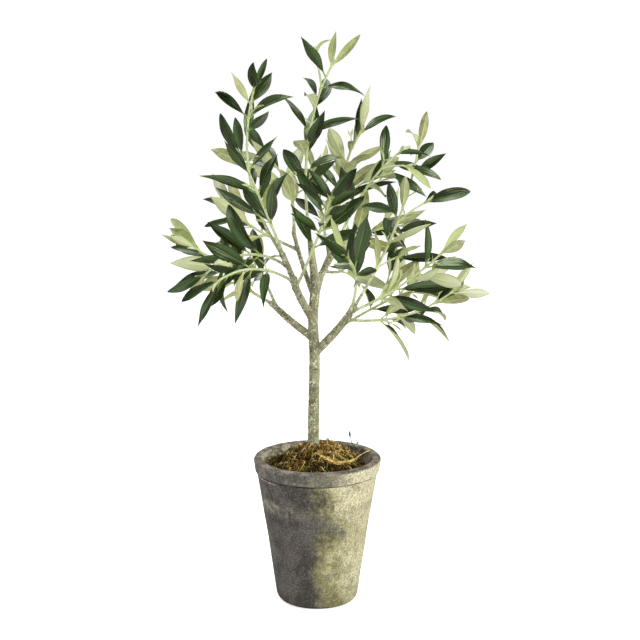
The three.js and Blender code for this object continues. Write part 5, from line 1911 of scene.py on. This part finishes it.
# %% Moss finishes
# The dark end of each moss colour is nearly black, for fibres in painted shade.
MOSS_COLOURS = {
    "green": {"light": (126, 128, 38), "dark": (6, 7, 1), "stain": (18, 20, 4)},
    "olive": {"light": (166, 146, 62), "dark": (9, 7, 2), "stain": (26, 22, 5)},
    "gold": {"light": (255, 226, 138), "dark": (58, 38, 9), "stain": (104, 70, 20)},
    "rust": {"light": (184, 126, 50), "dark": (16, 9, 2), "stain": (38, 23, 5)},
}
SPRIG_COLOURS = {"light": (120, 116, 66), "dark": (50, 54, 28), "stain": (78, 80, 40)}
BED_SHADE_DARK = (5, 4, 1)
BED_SHADE_LIGHT = (14, 12, 4)
BED_SHADE_BROWN = (24, 17, 6)


def moss_finish(name, light, dark, stain):
    """Dyed dry fibre: a tone between a dark and a light colour, kept on each point, which holds both the
    fibre's own random tone and painted shade, and stains that cross them.
    """
    finish = Finish(name)
    colour = finish.mix(finish.point_value("tone"), dark, light)
    finish.surface(finish.blotched(colour, (140, 0.48, 0.62, 0.7, stain)), 0.9, 0.3)
    finish.bump(finish.grain(1500, 0.3)[0], 0.3, 0.0003)
    return finish.material


# Painted shade: the mound under the fibres is painted nearly black, as the shade in the gaps between them.
finish = Finish("moss_bed")
colour = finish.blotched(BED_SHADE_DARK, (110, 0.42, 0.6, 1.0, BED_SHADE_LIGHT), (300, 0.52, 0.64, 1.0, BED_SHADE_BROWN))
finish.surface(colour, 0.95)
finish.bump(finish.grain(600, 0.3)[0], 0.8, 0.0012)
moss_bed = mound_gather.build("moss_bed", finish.material)
moss_pieces = []
for kind, gather in fibre_gather.items():
    name = f"moss_{kind}"
    moss_pieces.append(gather.build(name, moss_finish(name, **MOSS_COLOURS[kind])))
moss_sprig = sprig.build("moss_sprig", moss_finish("dry_sprig", **SPRIG_COLOURS))

# %% [markdown]
# ## Planting fill
# Under the moss a block of foam with a skin of dark cement holds the trunk. It can hardly be seen, so the CAD
# solid stays as it is and only takes a finish: coarse, matt and brown, with pale crumbs.

# %% Fill finish
FILL_DARK = (66, 52, 36)
FILL_LIGHT = (94, 78, 54)
FILL_CRUMB = (150, 134, 104)
finish = Finish("dark_planting_fill")
height, specks = finish.grain(500, 0.3)
colour = finish.blotched(FILL_DARK, (120, 0.42, 0.6, 1.0, FILL_LIGHT))
finish.surface(finish.mix(finish.times(specks, 0.5), colour, FILL_CRUMB), 0.95)
finish.bump(height, 0.7, 0.001)
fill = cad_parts["planting_fill"]
for material_slot in fill.material_slots:
    material_slot.material = finish.material
print("fill finish:", [material_slot.material.name for material_slot in fill.material_slots])

# %% [markdown]
# ## Put the pieces on the body
# The tree has no moving parts, so every piece rides on the one body. The plain solids that the fine meshes
# replace are hidden, and the fine meshes are grouped by the finish that each takes, and printed.

# %% Bodies, replaced nodes and slots
SPRAY_NODES = [f"spray_{name}" for name in SPRAYS]
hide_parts("pot")
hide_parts("moss")
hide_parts("trunk", *[f"bough_{name}" for name in BOUGHS])
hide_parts(*SPRAY_NODES)
slots = {"clay": [pot], "moss": [moss_bed, moss_sprig, *moss_pieces], "bark": [bark],
         "leaf": [stems, twigs, leaves_dark, leaves_fresh, leaves_young]}
for slot_name, pieces in slots.items():
    for piece in pieces:
        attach(piece, "root")
print({slot_name: [piece.name for piece in pieces] for slot_name, pieces in slots.items()})
